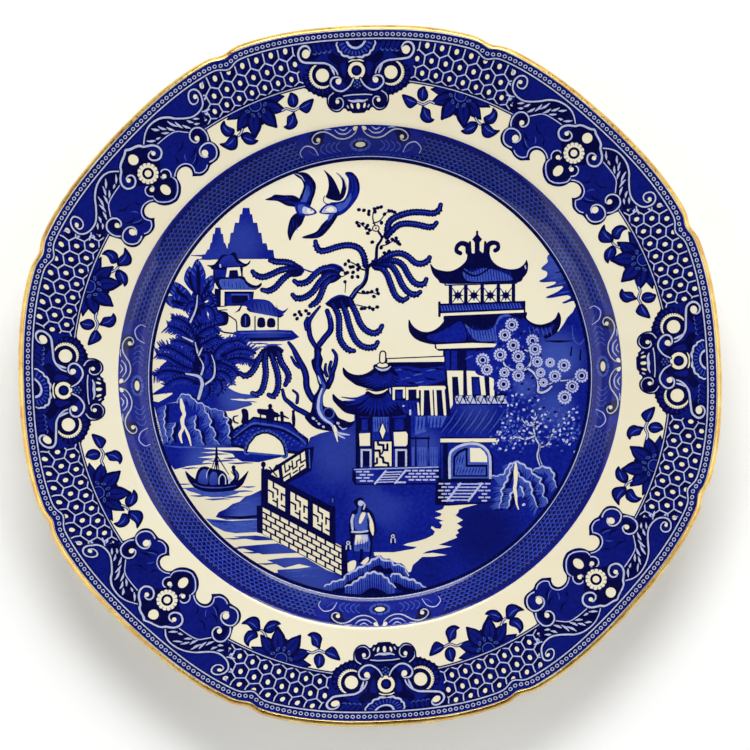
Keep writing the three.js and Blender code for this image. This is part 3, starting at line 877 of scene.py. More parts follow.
def draw_bridge_figures(p):
    """Tiny walkers on the bridge as plain silhouettes."""
    p.blob(DEEP, [
        (-41, -11.9), (-38.6, -11.9), (-36.4, -12.2), (-33.5, -13.5), (-32.9, -14.6), (-35.4, -14.9),
        (-37.6, -14.3), (-40.6, -13.6)])
    p.dot(DEEP, -36.4, -10.9, 0.8, 0.9)
    p.blob(DEEP, [(-37.8, -13.2), (-37.4, -12), (-36.4, -11.4), (-35.4, -12), (-34.8, -13.6)])
    p.blob(DEEP, [(-37.8, -14), (-35, -14.2), (-35.2, -16.4), (-37.4, -16.4)])
    for x, width in ((-39.8, 0.5), (-37, 0.8), (-35.8, 0.8), (-33.8, 0.5)):
        p.bar(DEEP, width, [(x, -13.4), (x - 0.1, -16.8)])
    p.dot(DEEP, -32.3, -13.3, 0.65)
    p.bar(DEEP, [1.4, 0.9], [(-32.2, -13.8), (-32, -17)])
    p.line(DEEP, [0.8, 0.5], [(-32, -14.2), (-29.9, -15.2)])
    p.dot(DEEP, -28.1, -12.8, 0.6)
    p.bar(DEEP, [0.9, 1.4, 1], [(-28.1, -13.2), (-28, -15.4), (-27.9, -17.8)])
    p.blob(DEEP, [
        (-46.7, -12.2), (-45.4, -11.7), (-44.3, -12.8), (-44.1, -15.8), (-44.4, -17.2), (-46.7, -17),
        (-46.4, -14.4)])
    p.line(DEEP, [0.4, 0.7, 0.5], [(-48, -14.3), (-49.5, -14.8), (-49.3, -16.4), (-47.9, -17)])


def draw_ripples(p, tone, ripples):
    """Thin strokes that run to a point at both ends. Each is (x, y, length, width)."""
    for x, y, length, width in ripples:
        p.bar(tone, [0.12, width, 0.8 * width, 0.12], [
            (x, y), (x + 0.35 * length, y - 0.12), (x + 0.7 * length, y + 0.1), (x + length, y)])


def draw_water(p):
    p.fill(BLUE, [
        (-75.4, -24.6), (-66, -25.2), (-49, -24.4), (-44.6, -26.4), (-31, -27.2), (-30, -28.6), (-40.5, -31),
        (-46.5, -30.7), (-48.8, -29.4), (-49.8, -28), (-55.6, -28.4), (-62.4, -29.3), (-55.8, -29.7),
        (-60, -30.5), (-61.4, -31.9), (-66, -32.4), (-70.6, -33.6), (-72, -32)])
    p.bar(LIGHT, [0.2, 0.6, 0.6, 0.2], [(-74.5, -25), (-69, -25.6), (-64, -25.6), (-58, -26)])
    p.bar(BARE, [0.2, 0.9, 1.1, 1.4], [(-60, -26), (-54, -26.2), (-47, -26.3), (-41, -26.6)])
    p.bar(BARE, [0.2, 0.7, 0.2], [(-61, -27.6), (-55, -27.4), (-50.2, -28)])
    p.bar(LIGHT, [0.2, 0.8, 0.2], [(-46, -27.6), (-38, -28.2), (-31.6, -28.4)])
    draw_ripples(p, BLUE, [
        (-68, -33.1, 6, 0.6), (-63.6, -31.5, 7, 0.6), (-58.5, -30.5, 9.5, 0.7), (-53, -29.5, 7, 0.7),
        (-51.5, -31.3, 9, 0.6), (-47.5, -30.1, 8, 0.8), (-66.5, -27.9, 9, 0.6)])


def draw_boat(p):
    p.blob(LIGHT, [
        (-65.9, -40.6), (-62.4, -42.2), (-57.4, -43.5), (-51.6, -43.1), (-47.6, -41.9), (-50, -41)])
    draw_ripples(p, LIGHT, [
        (-68.4, -40.3, 8, 0.6), (-65, -43, 9, 0.7), (-59.8, -44.2, 9, 0.7), (-53.6, -43.4, 8, 0.6),
        (-51.6, -41.4, 9, 0.7)])
    p.bar(LIGHT, [0.2, 0.6, 0.2], [(-46.6, -39.8), (-44, -39.9), (-41.8, -39.7)])
    p.bar(LIGHT, [0.2, 0.5, 0.2], [(-71, -38.6), (-67.4, -38.9), (-65, -38.8)])
    p.blob(DEEP, [
        (-66.8, -34.2), (-65.9, -37), (-63.8, -39.8), (-60.8, -41.2), (-57.4, -41.7), (-52.8, -41.5),
        (-49, -40.9), (-46.5, -39.3), (-45.2, -37), (-44.1, -34), (-45.6, -35.5), (-47.4, -37.2),
        (-50, -38.2), (-56.8, -38.6), (-61.8, -37.6), (-64.3, -36.2), (-65.9, -34.7)])
    p.line(LIGHT, [0.2, 0.45, 0.45, 0.2], [(-63.8, -38.6), (-60.4, -39.9), (-54, -40.1), (-48.6, -39.4)])
    p.blob(DEEP, [
        (-62.8, -38.8), (-62.9, -35.6), (-61.6, -33), (-59.4, -32.5), (-57, -33.3), (-54.4, -33.7),
        (-52.6, -34.7), (-51.6, -36.6), (-51.6, -39.4), (-57, -39.6)])
    p.blob(BLUE, [(-62, -38.2), (-61.9, -35.6), (-60.9, -34), (-59.4, -33.6), (-58.6, -35.4), (-58.8, -38.8)])
    p.blob(BLUE, [(-58, -38.9), (-57.9, -35.8), (-57, -34.5), (-55.6, -34.8), (-55.2, -36.6), (-55.4, -38.9)])
    p.line(PALE, [0.15, 0.3, 0.15], [(-59.2, -36.8), (-59, -34.8), (-58, -33)])
    p.line(PALE, 0.4, [(-54.7, -38.8), (-54.6, -36.6), (-53.5, -35.3), (-52.4, -36.6), (-52.3, -38.8)])
    p.fill(PALE, [(-51.2, -35.8), (-49.6, -37.8), (-50.4, -38.7), (-51.4, -38.7)])
    mast_x = -55.6
    for foot in ((-57.4, -33.6), (-56.4, -34.2), (-54.6, -34.2), (-51.2, -35.4)):
        p.bar(DEEP, [0.45, 0.3], [(mast_x, -28.4), foot])
    p.bar(DEEP, [0.6, 1, 0.9, 0.5], [(mast_x, -25.8), (mast_x, -28), (mast_x, -30), (-55.5, -33.8)])
    p.dot(DEEP, -49.5, -32.9, 0.75, 0.85)
    p.line(DEEP, [1.3, 1.9, 1.6, 0.8], [(-49.4, -33.8), (-48.4, -35.4), (-48.6, -37.2), (-50.4, -38.5)])
    p.line(LIGHT, [0.3, 0.6, 0.2], [(-48.9, -34.2), (-48.1, -35.8), (-48.5, -37.2)])
    p.bar(DEEP, 0.35, [(-50.2, -34.4), (-47.2, -38.6)])


def draw_left_bank(p):
    p.fill(BLUE, [
        (-55.8, -50.6), (-54.8, -48.9), (-52.1, -47.7), (-49.8, -45.9), (-47.2, -45.1), (-45.2, -43.2),
        (-43.2, -42.7), (-39.5, -40.9), (-38.5, -41), (-38.5, -51.4), (-52, -51.6)])
    p.bar(DEEP, [0.3, 1.1, 0.9], [(-54.8, -50.4), (-47, -50.9), (-39, -50.2)])
    draw_strokes(p, LIGHT, 0.5, [(-50.6, -47.6), (-47.6, -46), (-46, -48.6), (-44, -44.6)], (4.2, 0.9))
    p.fill(LIGHT, [
        (-59.4, -51.2), (-50, -52), (-38.6, -51.4), (-38.6, -56.2), (-41.2, -56), (-48.8, -56.4),
        (-52.8, -55.7), (-56.8, -53.7)])
    draw_strokes(p, BLUE, 0.8, [(-57.4, -52.2), (-53, -53.2), (-50.6, -54.6)], (12, -0.5))
    for points in (
            [(-49.4, -57.6), (-41.5, -57.2), (-38.2, -57.6), (-34.5, -58.9), (-41.5, -59)],
            [(-48.2, -61.2), (-39.9, -60.5), (-33.6, -60), (-24.6, -63.4), (-30.4, -63.6), (-38.9, -64),
             (-44.8, -62.2)],
            [(-37.4, -66), (-31, -65.2), (-24, -65), (-15, -70.2), (-19, -69), (-26, -67.4), (-31.2, -68.8)],
            [(-33.8, -69.5), (-26, -69), (-20, -68.2), (-10.5, -71.6), (-8, -73.4), (-15.6, -78.4),
             (-32, -76)]):
        p.fill(BLUE, points)
    draw_ripples(p, BLUE, [
        (-52.6, -58.3, 9, 0.6), (-51.4, -61.7, 8, 0.6), (-46, -63.3, 9, 0.6), (-41, -67.3, 9, 0.6),
        (-36.6, -70.7, 8, 0.6)])
    p.bar(LIGHT, [0.2, 0.9, 0.7, 0.2], [(-31, -70.2), (-26, -69.8), (-22, -68.9), (-18, -68.8)])
    p.bar(LIGHT, [0.2, 0.6, 0.2], [(-29, -72), (-24, -71.6), (-19, -71.8)])


def draw_left_half(p):
    draw_firs(p)
    draw_left_pagoda(p)
    draw_bush_mass(p)
    draw_left_rocks(p)
    draw_bush_leaves(p)
    draw_bush_branches(p)
    draw_water(p)
    draw_bridge(p)
    draw_bridge_figures(p)
    draw_boat(p)
    draw_left_bank(p)


# --- lawn, hill and path ---------------------------------------------------
def draw_lawn(p):
    p.fill(BLUE, [
        (-24, -27.4), (-22, -22.1), (-18.4, -20.6), (-13.1, -19.4), (-6.2, -16.6), (-6, -8), (8, -2),
        (26, 3), (27, 9.6), (48, 16), (57, 18), (67, 16), (69, 18.8), (70.2, 21), (72.2, 23), (73.6, 26),
        (74.6, 27), (80, 20), (80, -40), (60, -62), (30, -78), (-10, -80), (-10, -70), (-9, -62),
        (-14.6, -59), (-14, -46), (-26, -38.6)])
    p.line(LIGHT, [0.2, 0.5, 0.3, 0.5, 0.2], [(72, 18), (72.4, 13.6), (74.4, 11.4), (76.4, 13.4), (76.8, 17)])
    p.line(DEEP, [0.3, 0.9, 0.3], [(62, 12.6), (67, 12.4), (72, 12.6)])
    p.line(DEEP, [0.5, 0.7, 0.4], [(71.8, 10.4), (71.4, 7), (72, 4.4)])
    p.line(DEEP, [0.5, 0.7, 0.4], [(75, 9.4), (74.8, 6), (75.6, 2.6)])


def draw_path(p):
    p.fill(BARE, [
        (0.7, -63.2), (8, -63.2), (12, -62.5), (15, -62), (16.2, -61.3), (13, -61), (11.2, -60.6),
        (13, -59.9), (16.5, -59.2), (19.5, -58.3), (22, -57), (22.6, -55.8), (21.2, -54.6), (21.4, -53.8),
        (23, -54.7), (24.6, -54.8), (25.2, -53.5), (24, -52.4), (25.6, -51.9), (22.4, -50.9), (24.6, -50.2),
        (25, -49.4), (22.8, -48.6), (25.4, -47.8), (26.2, -46.2), (38, -46), (33, -47.3), (31.2, -48),
        (31, -49), (30, -50), (32.7, -51.7), (30.5, -52.9), (32.4, -54.2), (30.5, -55.3), (31.2, -56.3),
        (30, -57), (30.6, -58), (29, -58.6), (26, -59.8), (24, -60.5), (28.8, -61.2), (24, -62), (20, -62.8),
        (18.2, -63.7), (22, -63.4), (27, -64.2), (22, -64.8), (18, -64.9), (16.5, -66.3), (14.7, -67.8),
        (14, -70.2), (13, -70.4), (12, -68.3), (10.5, -67.1), (8, -67), (6.3, -65.4), (4.5, -65.7),
        (3.2, -64.3), (1, -64.5)])
    p.bar(BARE, [0.2, 0.8, 0.2], [(-9.6, -66), (-8.8, -67.4), (-8, -70)])
    p.blob(BARE, [(-8.4, -67), (-5.8, -66.2), (-6, -69), (-8.4, -70.2)])


def draw_hill(p):
    """The soft hill in strips at the right edge."""
    p.blob(BLUE, [
        (64.2, 44.2), (63, 42.6), (63.2, 41), (61, 39), (61.4, 38.2), (63, 37.4), (62.6, 35.6), (60.2, 34.2),
        (61.4, 33.7), (66, 33.9), (65.6, 33), (62.6, 31.9), (63.6, 31.5), (68.6, 32.3), (66.8, 30.4),
        (62.6, 28.4), (63.8, 28), (67.4, 28.6), (70.4, 29), (71.4, 28), (68.4, 26.4), (69.4, 26.1), (73, 27),
        (80, 26), (84, 38), (80, 50), (68, 46)])
    draw_strokes(p, LIGHT, 0.5, [(63.4, 41.6), (62, 38.6), (64, 35), (66, 32.8), (67, 29.6)], (4, 0.9))
    draw_strokes(p, DEEP, 0.5, [(66.6, 41), (65.6, 37), (68, 34.4), (70.4, 30.8)], (3.6, 0.9))


# --- the great pagoda ------------------------------------------------------
def draw_top_roof(p):
    p.blob(DEEP, [
        (21, 40.4), (22.8, 38.7), (26, 37.8), (28.4, 37.8), (30.3, 38.5), (32.4, 39.9), (34, 41.8),
        (34.7, 44.6), (36.9, 44.2), (38, 47.5), (39.1, 44.8), (42, 44.6), (42.9, 42.2), (44.6, 40.2),
        (47.2, 38.9), (50.2, 38.4), (52.9, 38.9), (54.9, 40.5), (55.6, 41.8), (56.2, 40.2), (55.9, 37.5),
        (54.5, 35.5), (52, 33.6), (38.6, 33.2), (26, 33.2), (23.8, 34.6), (21.9, 36.9)])
    p.blob(LIGHT, [
        (33, 38.6), (36, 37.4), (40, 38.8), (44, 38.2), (48.6, 36.6), (50.4, 34.6), (44, 34.2), (36, 34),
        (33.2, 35.4)])
    for k in range(17):
        x = 33.6 + k
        p.bar(BLUE, [0.5, 0.3], [(x, 38.8 - 0.12 * abs(k - 6)), (x + 0.5, 34.2)])
    p.line(DEEP, [0.9, 0.5], [(32.4, 38.4), (35, 36.6), (38, 36.2), (43, 39.2)])
    p.dot(PALE, 55.2, 39.2, 0.24, 0.8, 10)
    p.line(DEEP, [2, 1.9, 1.7, 1.4, 1.6], [
        (34.7, 44.6), (34.4, 47), (32.3, 47.8), (30.7, 46.6), (30.5, 45), (31.8, 44.2)])
    p.line(DEEP, [2, 1.9, 1.7, 1.4, 1.6], [
        (41.4, 44.6), (41.8, 47), (43.5, 48), (45.3, 47.5), (45.4, 45.9), (44.4, 45.2)])
    for x in (35.3, 40.8):
        p.bar(DEEP, [1.3, 0.8], [(x, 44), (x, 48.2)])
    for x in (36.5, 39.8):
        p.bar(BARE, 0.6, [(x, 44.6), (x, 48)])
    spire_x = 37.9
    p.fill(DEEP, [(spire_x, 51.4), (36.1, 49.2), (spire_x, 47), (39.7, 49.2)])
    p.bar(DEEP, 0.8, [(spire_x, 50.4), (spire_x, 52)])
    p.bar(DEEP, 1.8, [(spire_x, 48), (spire_x, 44)])


def draw_gallery(p):
    p.fill(BARE, [(26.6, 33.4), (51.8, 34), (51.6, 24.6), (27.6, 24.4)])
    bays = [(28.4, 33.5), (33.9, 39.5), (39.8, 45.3), (45.6, 50.7)]
    for left, right in bays:
        star = ((left + right) / 2, 29)
        p.bar(DEEP, 1.3, [(left - 0.1, 32.6), (left - 0.1, 25.6)])
        p.bar(BLUE, 0.32, [(left, 32.2), (right, 25.8)])
        p.bar(BLUE, 0.32, [(left, 25.8), (right, 32.2)])
        p.dot(BLUE, *star, 1.3, 1.2)
        for ray in range(8):
            p.bar(DEEP, [0.8, 0.3], [star, polar(star, 1.8, math.pi * ray / 4)])
    p.bar(DEEP, 1.3, [(50.9, 32.8), (50.9, 25.6)])
    p.bar(DEEP, 1.1, [(26.6, 33), (51.8, 33.7)])
    p.bar(PALE, 0.5, [(26.8, 33.1), (51.8, 33.8)])
    p.fill(DEEP, [(24, 26), (54.8, 27), (54.8, 23), (24, 21.8)])
    p.fill(BLUE, [(24.9, 25.3), (54, 26.2), (54, 24.3), (24.9, 23.1)])
    for k in range(27):
        x = 25.4 + 1.08 * k
        y = 23.5 + 0.037 * (x - 24)
        p.bar(LIGHT, [0.5, 0.2], [(x, y), (x - 0.6, y + 1.7)])
    p.bar(BARE, 0.95, [(24, 22), (54.8, 23.3)])
    p.bar(DEEP, 0.9, [(24.3, 26.4), (24.3, 21.6)])
    p.bar(DEEP, 0.6, [(54.9, 26.8), (54.9, 22.6)])


def draw_second_roof(p):
    p.blob(DEEP, [
        (13.3, 20.3), (14.5, 18.4), (16.1, 16.9), (18.4, 15.9), (21.1, 16), (23.8, 17.4), (25.8, 19.6),
        (27, 21.9), (40, 22.4), (54.6, 23.2), (55.5, 20.9), (57.5, 19.2), (60.5, 18.5), (63.5, 19.2),
        (65.8, 20.7), (67.1, 23), (68, 20.4), (67.2, 17), (65, 14.6), (61, 12.8), (54, 11.8), (40, 11.6),
        (26, 11.2), (22.4, 11.3), (19.8, 11.7), (16.8, 12.7), (14.7, 14.2), (13.3, 16.6)])
    p.blob(BLUE, [
        (20, 14.4), (24, 15.6), (28, 17.6), (32, 19.6), (34, 15), (33, 12.6), (26, 12.2), (21, 12.8)])
    p.blob(LIGHT, [
        (33.4, 18.6), (36.4, 16.6), (40, 16.4), (43.6, 17.4), (46, 21.6), (50, 21.6), (51, 16), (46, 12.6),
        (40, 12.4), (36.4, 13.6)])
    p.blob(BLUE, [(54, 20.8), (58, 17.8), (62, 17), (65.6, 18.6), (63.4, 15.2), (58, 13.6), (54, 14)])
    for k in range(16):
        x = 34.2 + 1.05 * k
        p.bar(BLUE, [0.5, 0.25], [(x, 18.4 - 0.5 * abs(3 - k % 7)), (x + 0.9, 12.8)])
    draw_strokes(p, LIGHT, 0.4, [(56.4 + 1.5 * k, 17.6) for k in range(6)], (0.8, -3))
    p.line(DEEP, [1, 1.8, 0.6], [(33, 21.6), (38, 18.2), (42, 18), (45, 22)])
    p.fill(DEEP, [(22.6, 12), (47.6, 12.6), (47.6, 9.2), (24, 9), (22.6, 10)])
    p.fill(BARE, [(23, 11.3), (36, 11.9), (47.4, 11.5), (47.4, 10.5), (36, 10.1), (23.4, 9.7)])


def draw_upper_wall(p):
    p.fill(DEEP, [(25.6, 9.7), (48, 9.7), (48, 1.4), (25.6, 1.8)])
    for x, width in ((27.2, 1.4), (29.6, 2), (35.6, 3.2), (39.6, 2.4)):
        p.bar(BLUE, width, [(x, 9), (x, 2)])
    p.bar(LIGHT, [0.2, 0.6, 0.2], [(33.6, 6), (35.4, 7), (37, 7.4)])
    p.box(DEEP, 26.6, 2, 48.6, -9)
    p.fill(BARE, [
        (27, 1.9), (32.8, 1.9), (32.8, -6.9), (31.4, -6.9), (30.9, -0.3), (28.8, -0.3), (29.1, -10.6),
        (28.2, -14.2), (27.7, -10.6)])
    p.fill(BARE, [
        (34, 1.9), (38.6, 1.7), (40.3, 0.2), (40.9, -6.9), (39.3, -6.9), (38.6, -0.3), (35.7, -0.3),
        (36, -6.9), (34.3, -6.9)])
    p.bar(BARE, 1.6, [(42.9, 0), (43.2, -6.9)])
    p.fill(BLUE, [(36.3, -1), (38.3, -1), (38.8, -6.6), (36.5, -6.6)])
    for k in range(5):
        x = 29.7 + 3.75 * k
        p.fill(PALE, [(x, -7.3), (x + 2.6, -7), (x + 4.1, -9.9), (x + 0.6, -10)])
        p.bar(DEEP, 0.34, [(x, -7.2), (x + 1.9, -10), (x + 3, -7.2)])
        p.bar(DEEP, 0.34, [(x + 0.7, -9), (x + 1.4, -7.4)])
    p.bar(DEEP, 0.7, [(29.4, -10.4), (48, -10.4)])


def draw_lower_roof(p):
    p.fill(BLUE, [
        (29, -10.4), (48, -10.4), (46.6, -16), (44.6, -22.4), (20, -22.4), (18.6, -14.4), (27, -14.2)])
    for k in range(27):
        x = 22.4 + 0.95 * k
        p.bar(DEEP if k % 3 else LIGHT, [0.12, 0.34, 0.12], [(x - 3.4, -20.6), (x, -16.4), (x + 2.6, -12)])
    p.box(DEEP, 20, -22, 45.4, -24.6)
    p.bar(BARE, 1.35, [(20.6, -23.2), (45, -23.1)])


def draw_arch_house(p):
    p.box(BLUE, 20.4, -24.2, 46, -38)
    p.box(DEEP, 23.8, -24.4, 27.2, -38)
    p.bar(BLUE, 0.8, [(25.2, -25), (25.2, -37)])
    p.fill(DEEP, [
        (27, -38), (27.2, -28.4), (29.4, -25.4), (32.8, -23.9), (36, -23.5), (39.4, -24.1), (41.8, -25.9),
        (43.3, -29), (43.6, -38)])
    house = [
        (27.9, -36.8), (28, -28.5), (30, -26), (33, -24.7), (36, -24.3), (39, -24.9), (41, -26.4),
        (42.3, -29), (42.5, -36.8)]
    p.fill(LIGHT, house)
    p.line(PALE, 0.9, house)
    p.fill(DEEP, [
        (29, -36.2), (29.2, -29), (30.8, -27), (33.4, -25.8), (34.4, -25.8), (34.4, -31.9), (41.4, -31.9),
        (41.5, -36.2)])
    p.fill(LIGHT, [
        (29.8, -35.6), (30, -29.4), (31.4, -27.8), (33.6, -26.8), (33.6, -32.7), (40.8, -32.7),
        (40.8, -35.6)])
    draw_strokes(p, BLUE, 0.5, [(30.2 + 1.1 * k, -35.4) for k in range(9)], (0.9, 2.6))
    draw_strokes(p, BLUE, 0.5, [(30.2 + 1 * k, -31.8) for k in range(3)], (0.8, 3.4))
    p.fill(BARE, [(35.2, -25.8), (35.3, -30.9), (41.4, -31), (41.3, -29), (40.4, -27.3), (38.8, -25.9)])
    p.bar(DEEP, 0.7, [(43.6, -37), (43.2, -29), (42.4, -27)])
    p.bar(DEEP, 0.9, [(24, -37.4), (43.6, -37.4)])


def draw_brick_rows(p, x0, x1, y0, rows, row_step, pitch):
    """Rows of brick dashes, every other row moved half a brick."""
    for row in range(rows):
        x = x0 + (pitch / 2 if row % 2 else 0)
        while x + 0.6 * pitch < x1:
            p.bar(PALE, 0.55, [(x, y0 - row * row_step), (x + 0.62 * pitch, y0 - row * row_step)])
            x += pitch


def draw_arch_steps(p):
    p.fill(DEEP, [(23, -38), (43, -38), (43, -45.6), (27, -46.6), (22.6, -46.2)])
    p.fill(BLUE, [(26.6, -38.2), (42.6, -38.2), (42.6, -45.2), (26.6, -45.8)])
    draw_brick_rows(p, 24, 30, -38.7, 6, 1.22, 2.4)
    draw_brick_rows(p, 38.4, 43, -38.7, 6, 1.22, 2.4)
    for row in range(6):
        y = -38.8 - 1.15 * row
        p.bar(PALE, 0.42, [(30.8 - 0.75 * row, y), (38.6 - 0.75 * row, y)])
    for x in (27, 34.6):
        p.bar(PALE, 0.75, [(x, -44.8), (x + 4.8, -38.6)])


def draw_great_pagoda(p):
    draw_upper_wall(p)
    draw_second_roof(p)
    draw_gallery(p)
    draw_top_roof(p)
    draw_lower_roof(p)
    draw_arch_house(p)
    draw_arch_steps(p)


# --- blossom trees and rocks on the right ----------------------------------
def draw_round_blossom(p, x, y, size):
    p.dot(BLUE, x, y, 2.75 * size)
    for petal in range(13):
        turn = 2 * math.pi * petal / 13
        p.dot(PALE, *polar((x, y), 1.95 * size, turn), 0.5 * size, 0.42 * size, math.degrees(turn))
    p.ring(PALE, x, y, 1.74 * size, 0.32)
    p.ring(PALE, x, y, 1 * size, 0.42)
    p.dot(DEEP, x, y, 0.62 * size)


def draw_round_blossom_tree(p):
    p.blob(BLUE, [
        (47, 21), (53, 20.6), (56, 15.4), (61.6, 14.6), (62.4, 8), (66, 7.6), (72.4, 6.8), (77.6, 3),
        (78, -2), (74.6, -6), (71.6, -10.6), (66.4, -10), (62, -9), (56, -4.6), (50, -6), (44, -5.4),
        (43.6, -1), (37.4, 1), (36.6, 8), (42.4, 9.4), (45, 12), (44.6, 17)])
    for x, y in scattered(30, 45, 61, -8, 17, 5):
        p.dot(DEEP, x, y, 0.6, 0.4, 20)
    p.edged([0.5, 0.7, 0.9, 0.9, 0.7, 0.5], tone=PALE, edge=0.3, points=[
        (47, 5.5), (48, 3.6), (50.5, 2.1), (53.5, 2), (55.6, 2.7), (57, 4.5), (57.4, 6.5), (56.5, 8.5),
        (55, 9.3)])
    p.edged([0.7, 0.9, 0.8, 0.7], tone=PALE, edge=0.3, points=[
        (56, 2.7), (58, 1.2), (59.5, -1), (59.8, -3.5), (59.7, -5.5), (61, -6), (63, -5.2), (64.5, -3.8)])
    p.edged([0.4, 0.5, 0.3], [(63, -3.2), (66, -2), (69.6, -1.6), (72.6, -1)], tone=PALE, edge=0.25)
    for x, y in scattered(60, 44, 62, -9, 17, 1):
        p.dot(LIGHT, x, y, 0.5, 0.32, 40)
    blossoms = [
        (50.3, 18.4), (47.8, 14.7), (57.7, 12.7), (50.8, 11), (58.6, 9.6), (46.1, 7.6), (52.6, 7),
        (39.8, 5.7), (59.4, 5.1), (64, 4.8), (69, 3.8), (41.3, 2.3), (60.6, 1.2), (47.6, 1.2), (52.6, 0.1),
        (65.7, -0.1), (75.3, 0.1), (61.6, -2.4), (47.3, -3), (71.9, -3.8), (69.2, -7.7)]
    sizes = [1, 0.95, 0.95, 1, 1, 1, 1, 1.05, 0.85, 0.75, 1, 0.9, 0.75, 0.8, 0.95, 0.95, 1.05, 0.7, 1,
             1, 1.05]
    for (x, y), size in zip(blossoms, sizes):
        draw_round_blossom(p, x, y, size)
    draw_round_blossom(p, 53.2, 3.3, 0.62)


def draw_small_leaf_tree(p):
    for x, y in scattered(30, 46, 74, -25, -9, 3):
        p.dot(DEEP, x, y, 0.6, 0.4, 15)
    trunk = [(58.5, -13), (58.7, -15), (58, -17.8), (58.3, -20.5), (58.8, -22.5), (60.2, -25), (59.6, -28),
             (59.8, -30), (60.6, -32)]
    p.edged([0.4, 0.5, 0.6, 0.8, 1.1, 1.3], trunk, tone=PALE, edge=0.35)
    p.line(BLUE, [0.2, 0.4, 0.5], [(59, -22), (60.3, -25), (59.8, -29), (60.6, -32)])
    for branch in (
            [(53.8, -15.5), (55, -17), (57, -17.8), (58.1, -17.4)],
            [(50, -23), (52, -22), (55, -22.7), (58.4, -21.6)],
            [(60.4, -25.6), (62.5, -25), (64, -23), (64.6, -21.2), (66, -20)]):
        p.edged([0.35, 0.55, 0.6], branch, tone=PALE, edge=0.28)
    leaf_boxes = [
        (78, 46, 60, -24, -15), (66, 47, 62, -17, -4), (96, 60, 74, -24, -12), (36, 43, 56, -27, -19),
        (24, 62, 74, -27, -15)]
    for seed, (count, x0, x1, y0, y1) in enumerate(leaf_boxes):
        for k, (x, y) in enumerate(scattered(count, x0, x1, y0, y1, seed + 4)):
            stray_x, stray_y = 0.9 * math.sin(12.9 * k + seed), 0.9 * math.sin(7.7 * k + 2.3 * seed + 1)
            tone = PALE if k % 3 == 0 else LIGHT
            p.dot(tone, x + stray_x, y + stray_y, 0.58, 0.36, 20 + 60 * math.sin(3 * k))


def draw_right_rocks(p):
    p.fill(BLUE, [
        (42.8, -38), (43, -36), (46, -35), (48.4, -32), (51.5, -30.6), (54, -31.2), (57, -33), (59.5, -32.4),
        (63.5, -32.6), (66, -35), (67, -40), (66, -44), (60, -48.4), (50, -49.4), (43, -48), (42.4, -44)])
    draw_rock_ridges(p, [
        [(57.8, -34), (59.5, -33), (61.5, -32.6), (63.5, -33.2), (65, -34.8), (65.3, -37.5), (66.2, -40)],
        [(42.6, -36.5), (43.5, -35.9), (46, -35.7), (47.5, -34.8), (48.5, -33), (50, -31.5), (51.5, -31),
         (53.5, -31.3), (55, -32.5), (57.2, -34), (58, -35.5), (60.4, -36.6), (60.2, -38), (61.8, -40.5),
         (61.2, -42.5), (63, -45), (62.8, -46.5)],
        [(50.5, -31.5), (49.5, -34), (48.3, -37.5), (46.5, -41), (46.6, -43), (46, -45.5), (45.6, -47.5)],
        [(51, -40.5), (49.6, -43), (49.3, -45.5), (48.3, -47.5)],
        [(52, -34), (53.5, -36.5), (56.5, -38.5), (57.2, -40.5), (57.5, -43), (58.5, -44.5), (58.6, -46),
         (59.5, -47.2)], [(53, -39.5), (54.3, -41.8), (54, -43.5)]], 0.7)
    p.line(BARE, [0.7, 1.6, 1.2, 1.3, 0.9, 0.4], [
        (51.6, -31.5), (51.6, -34), (51.5, -38), (51.2, -40.5), (51.6, -43), (51.8, -45.5), (52.5, -47.8)])
    p.edged_dot(54.4, -46.2, 0.7, 0.5, 20, PALE, 0.3)


def draw_bottom_rocks(p):
    p.fill(BLUE, [
        (-20, -79), (-16, -75), (-13, -73.5), (-9, -71), (-5, -69), (1, -65.5), (3, -65), (6.5, -66),
        (10.5, -67.8), (13.2, -71.5), (17, -74), (20.5, -76), (22, -79)])
    outlines = [
        [(-17, -75.4), (-13, -73.5), (-10.5, -73), (-9, -71), (-7, -70.3), (-5, -69), (-3, -68), (-1, -67),
         (1, -65.5), (3, -65), (4.5, -66.3), (6.5, -66), (8, -67.6), (10.5, -67.8), (12, -69.2),
         (13.2, -71.5)],
        [(6.8, -72), (8, -70.8), (10, -71.3), (12, -72.5), (15, -73.2), (17, -74.5), (19.4, -75.8)],
        [(-9.5, -75.5), (-7, -74.5), (-5, -73), (-3, -72), (-1.5, -70.8), (1, -70.4), (3.5, -71.2),
         (5.5, -72.6), (6.8, -74.3), (8.5, -75.8)]]
    for outline, depth in zip(outlines, (2.8, 3.2, 5.6)):
        low = [(x, y - depth) for x, y in outline]
        p.blob(DEEP, outline + [(x, y - 2.2) for x, y in low[::-1]])
        p.blob(BLUE, outline + low[::-1])
        for x, y, _ in along(outline, 0.85):
            p.bar(LIGHT, [0.55, 0.15], [(x, y), (x + 0.15, y - depth)])
        p.line(PALE, [0.4, 0.75, 0.75, 0.4], scalloped(outline))


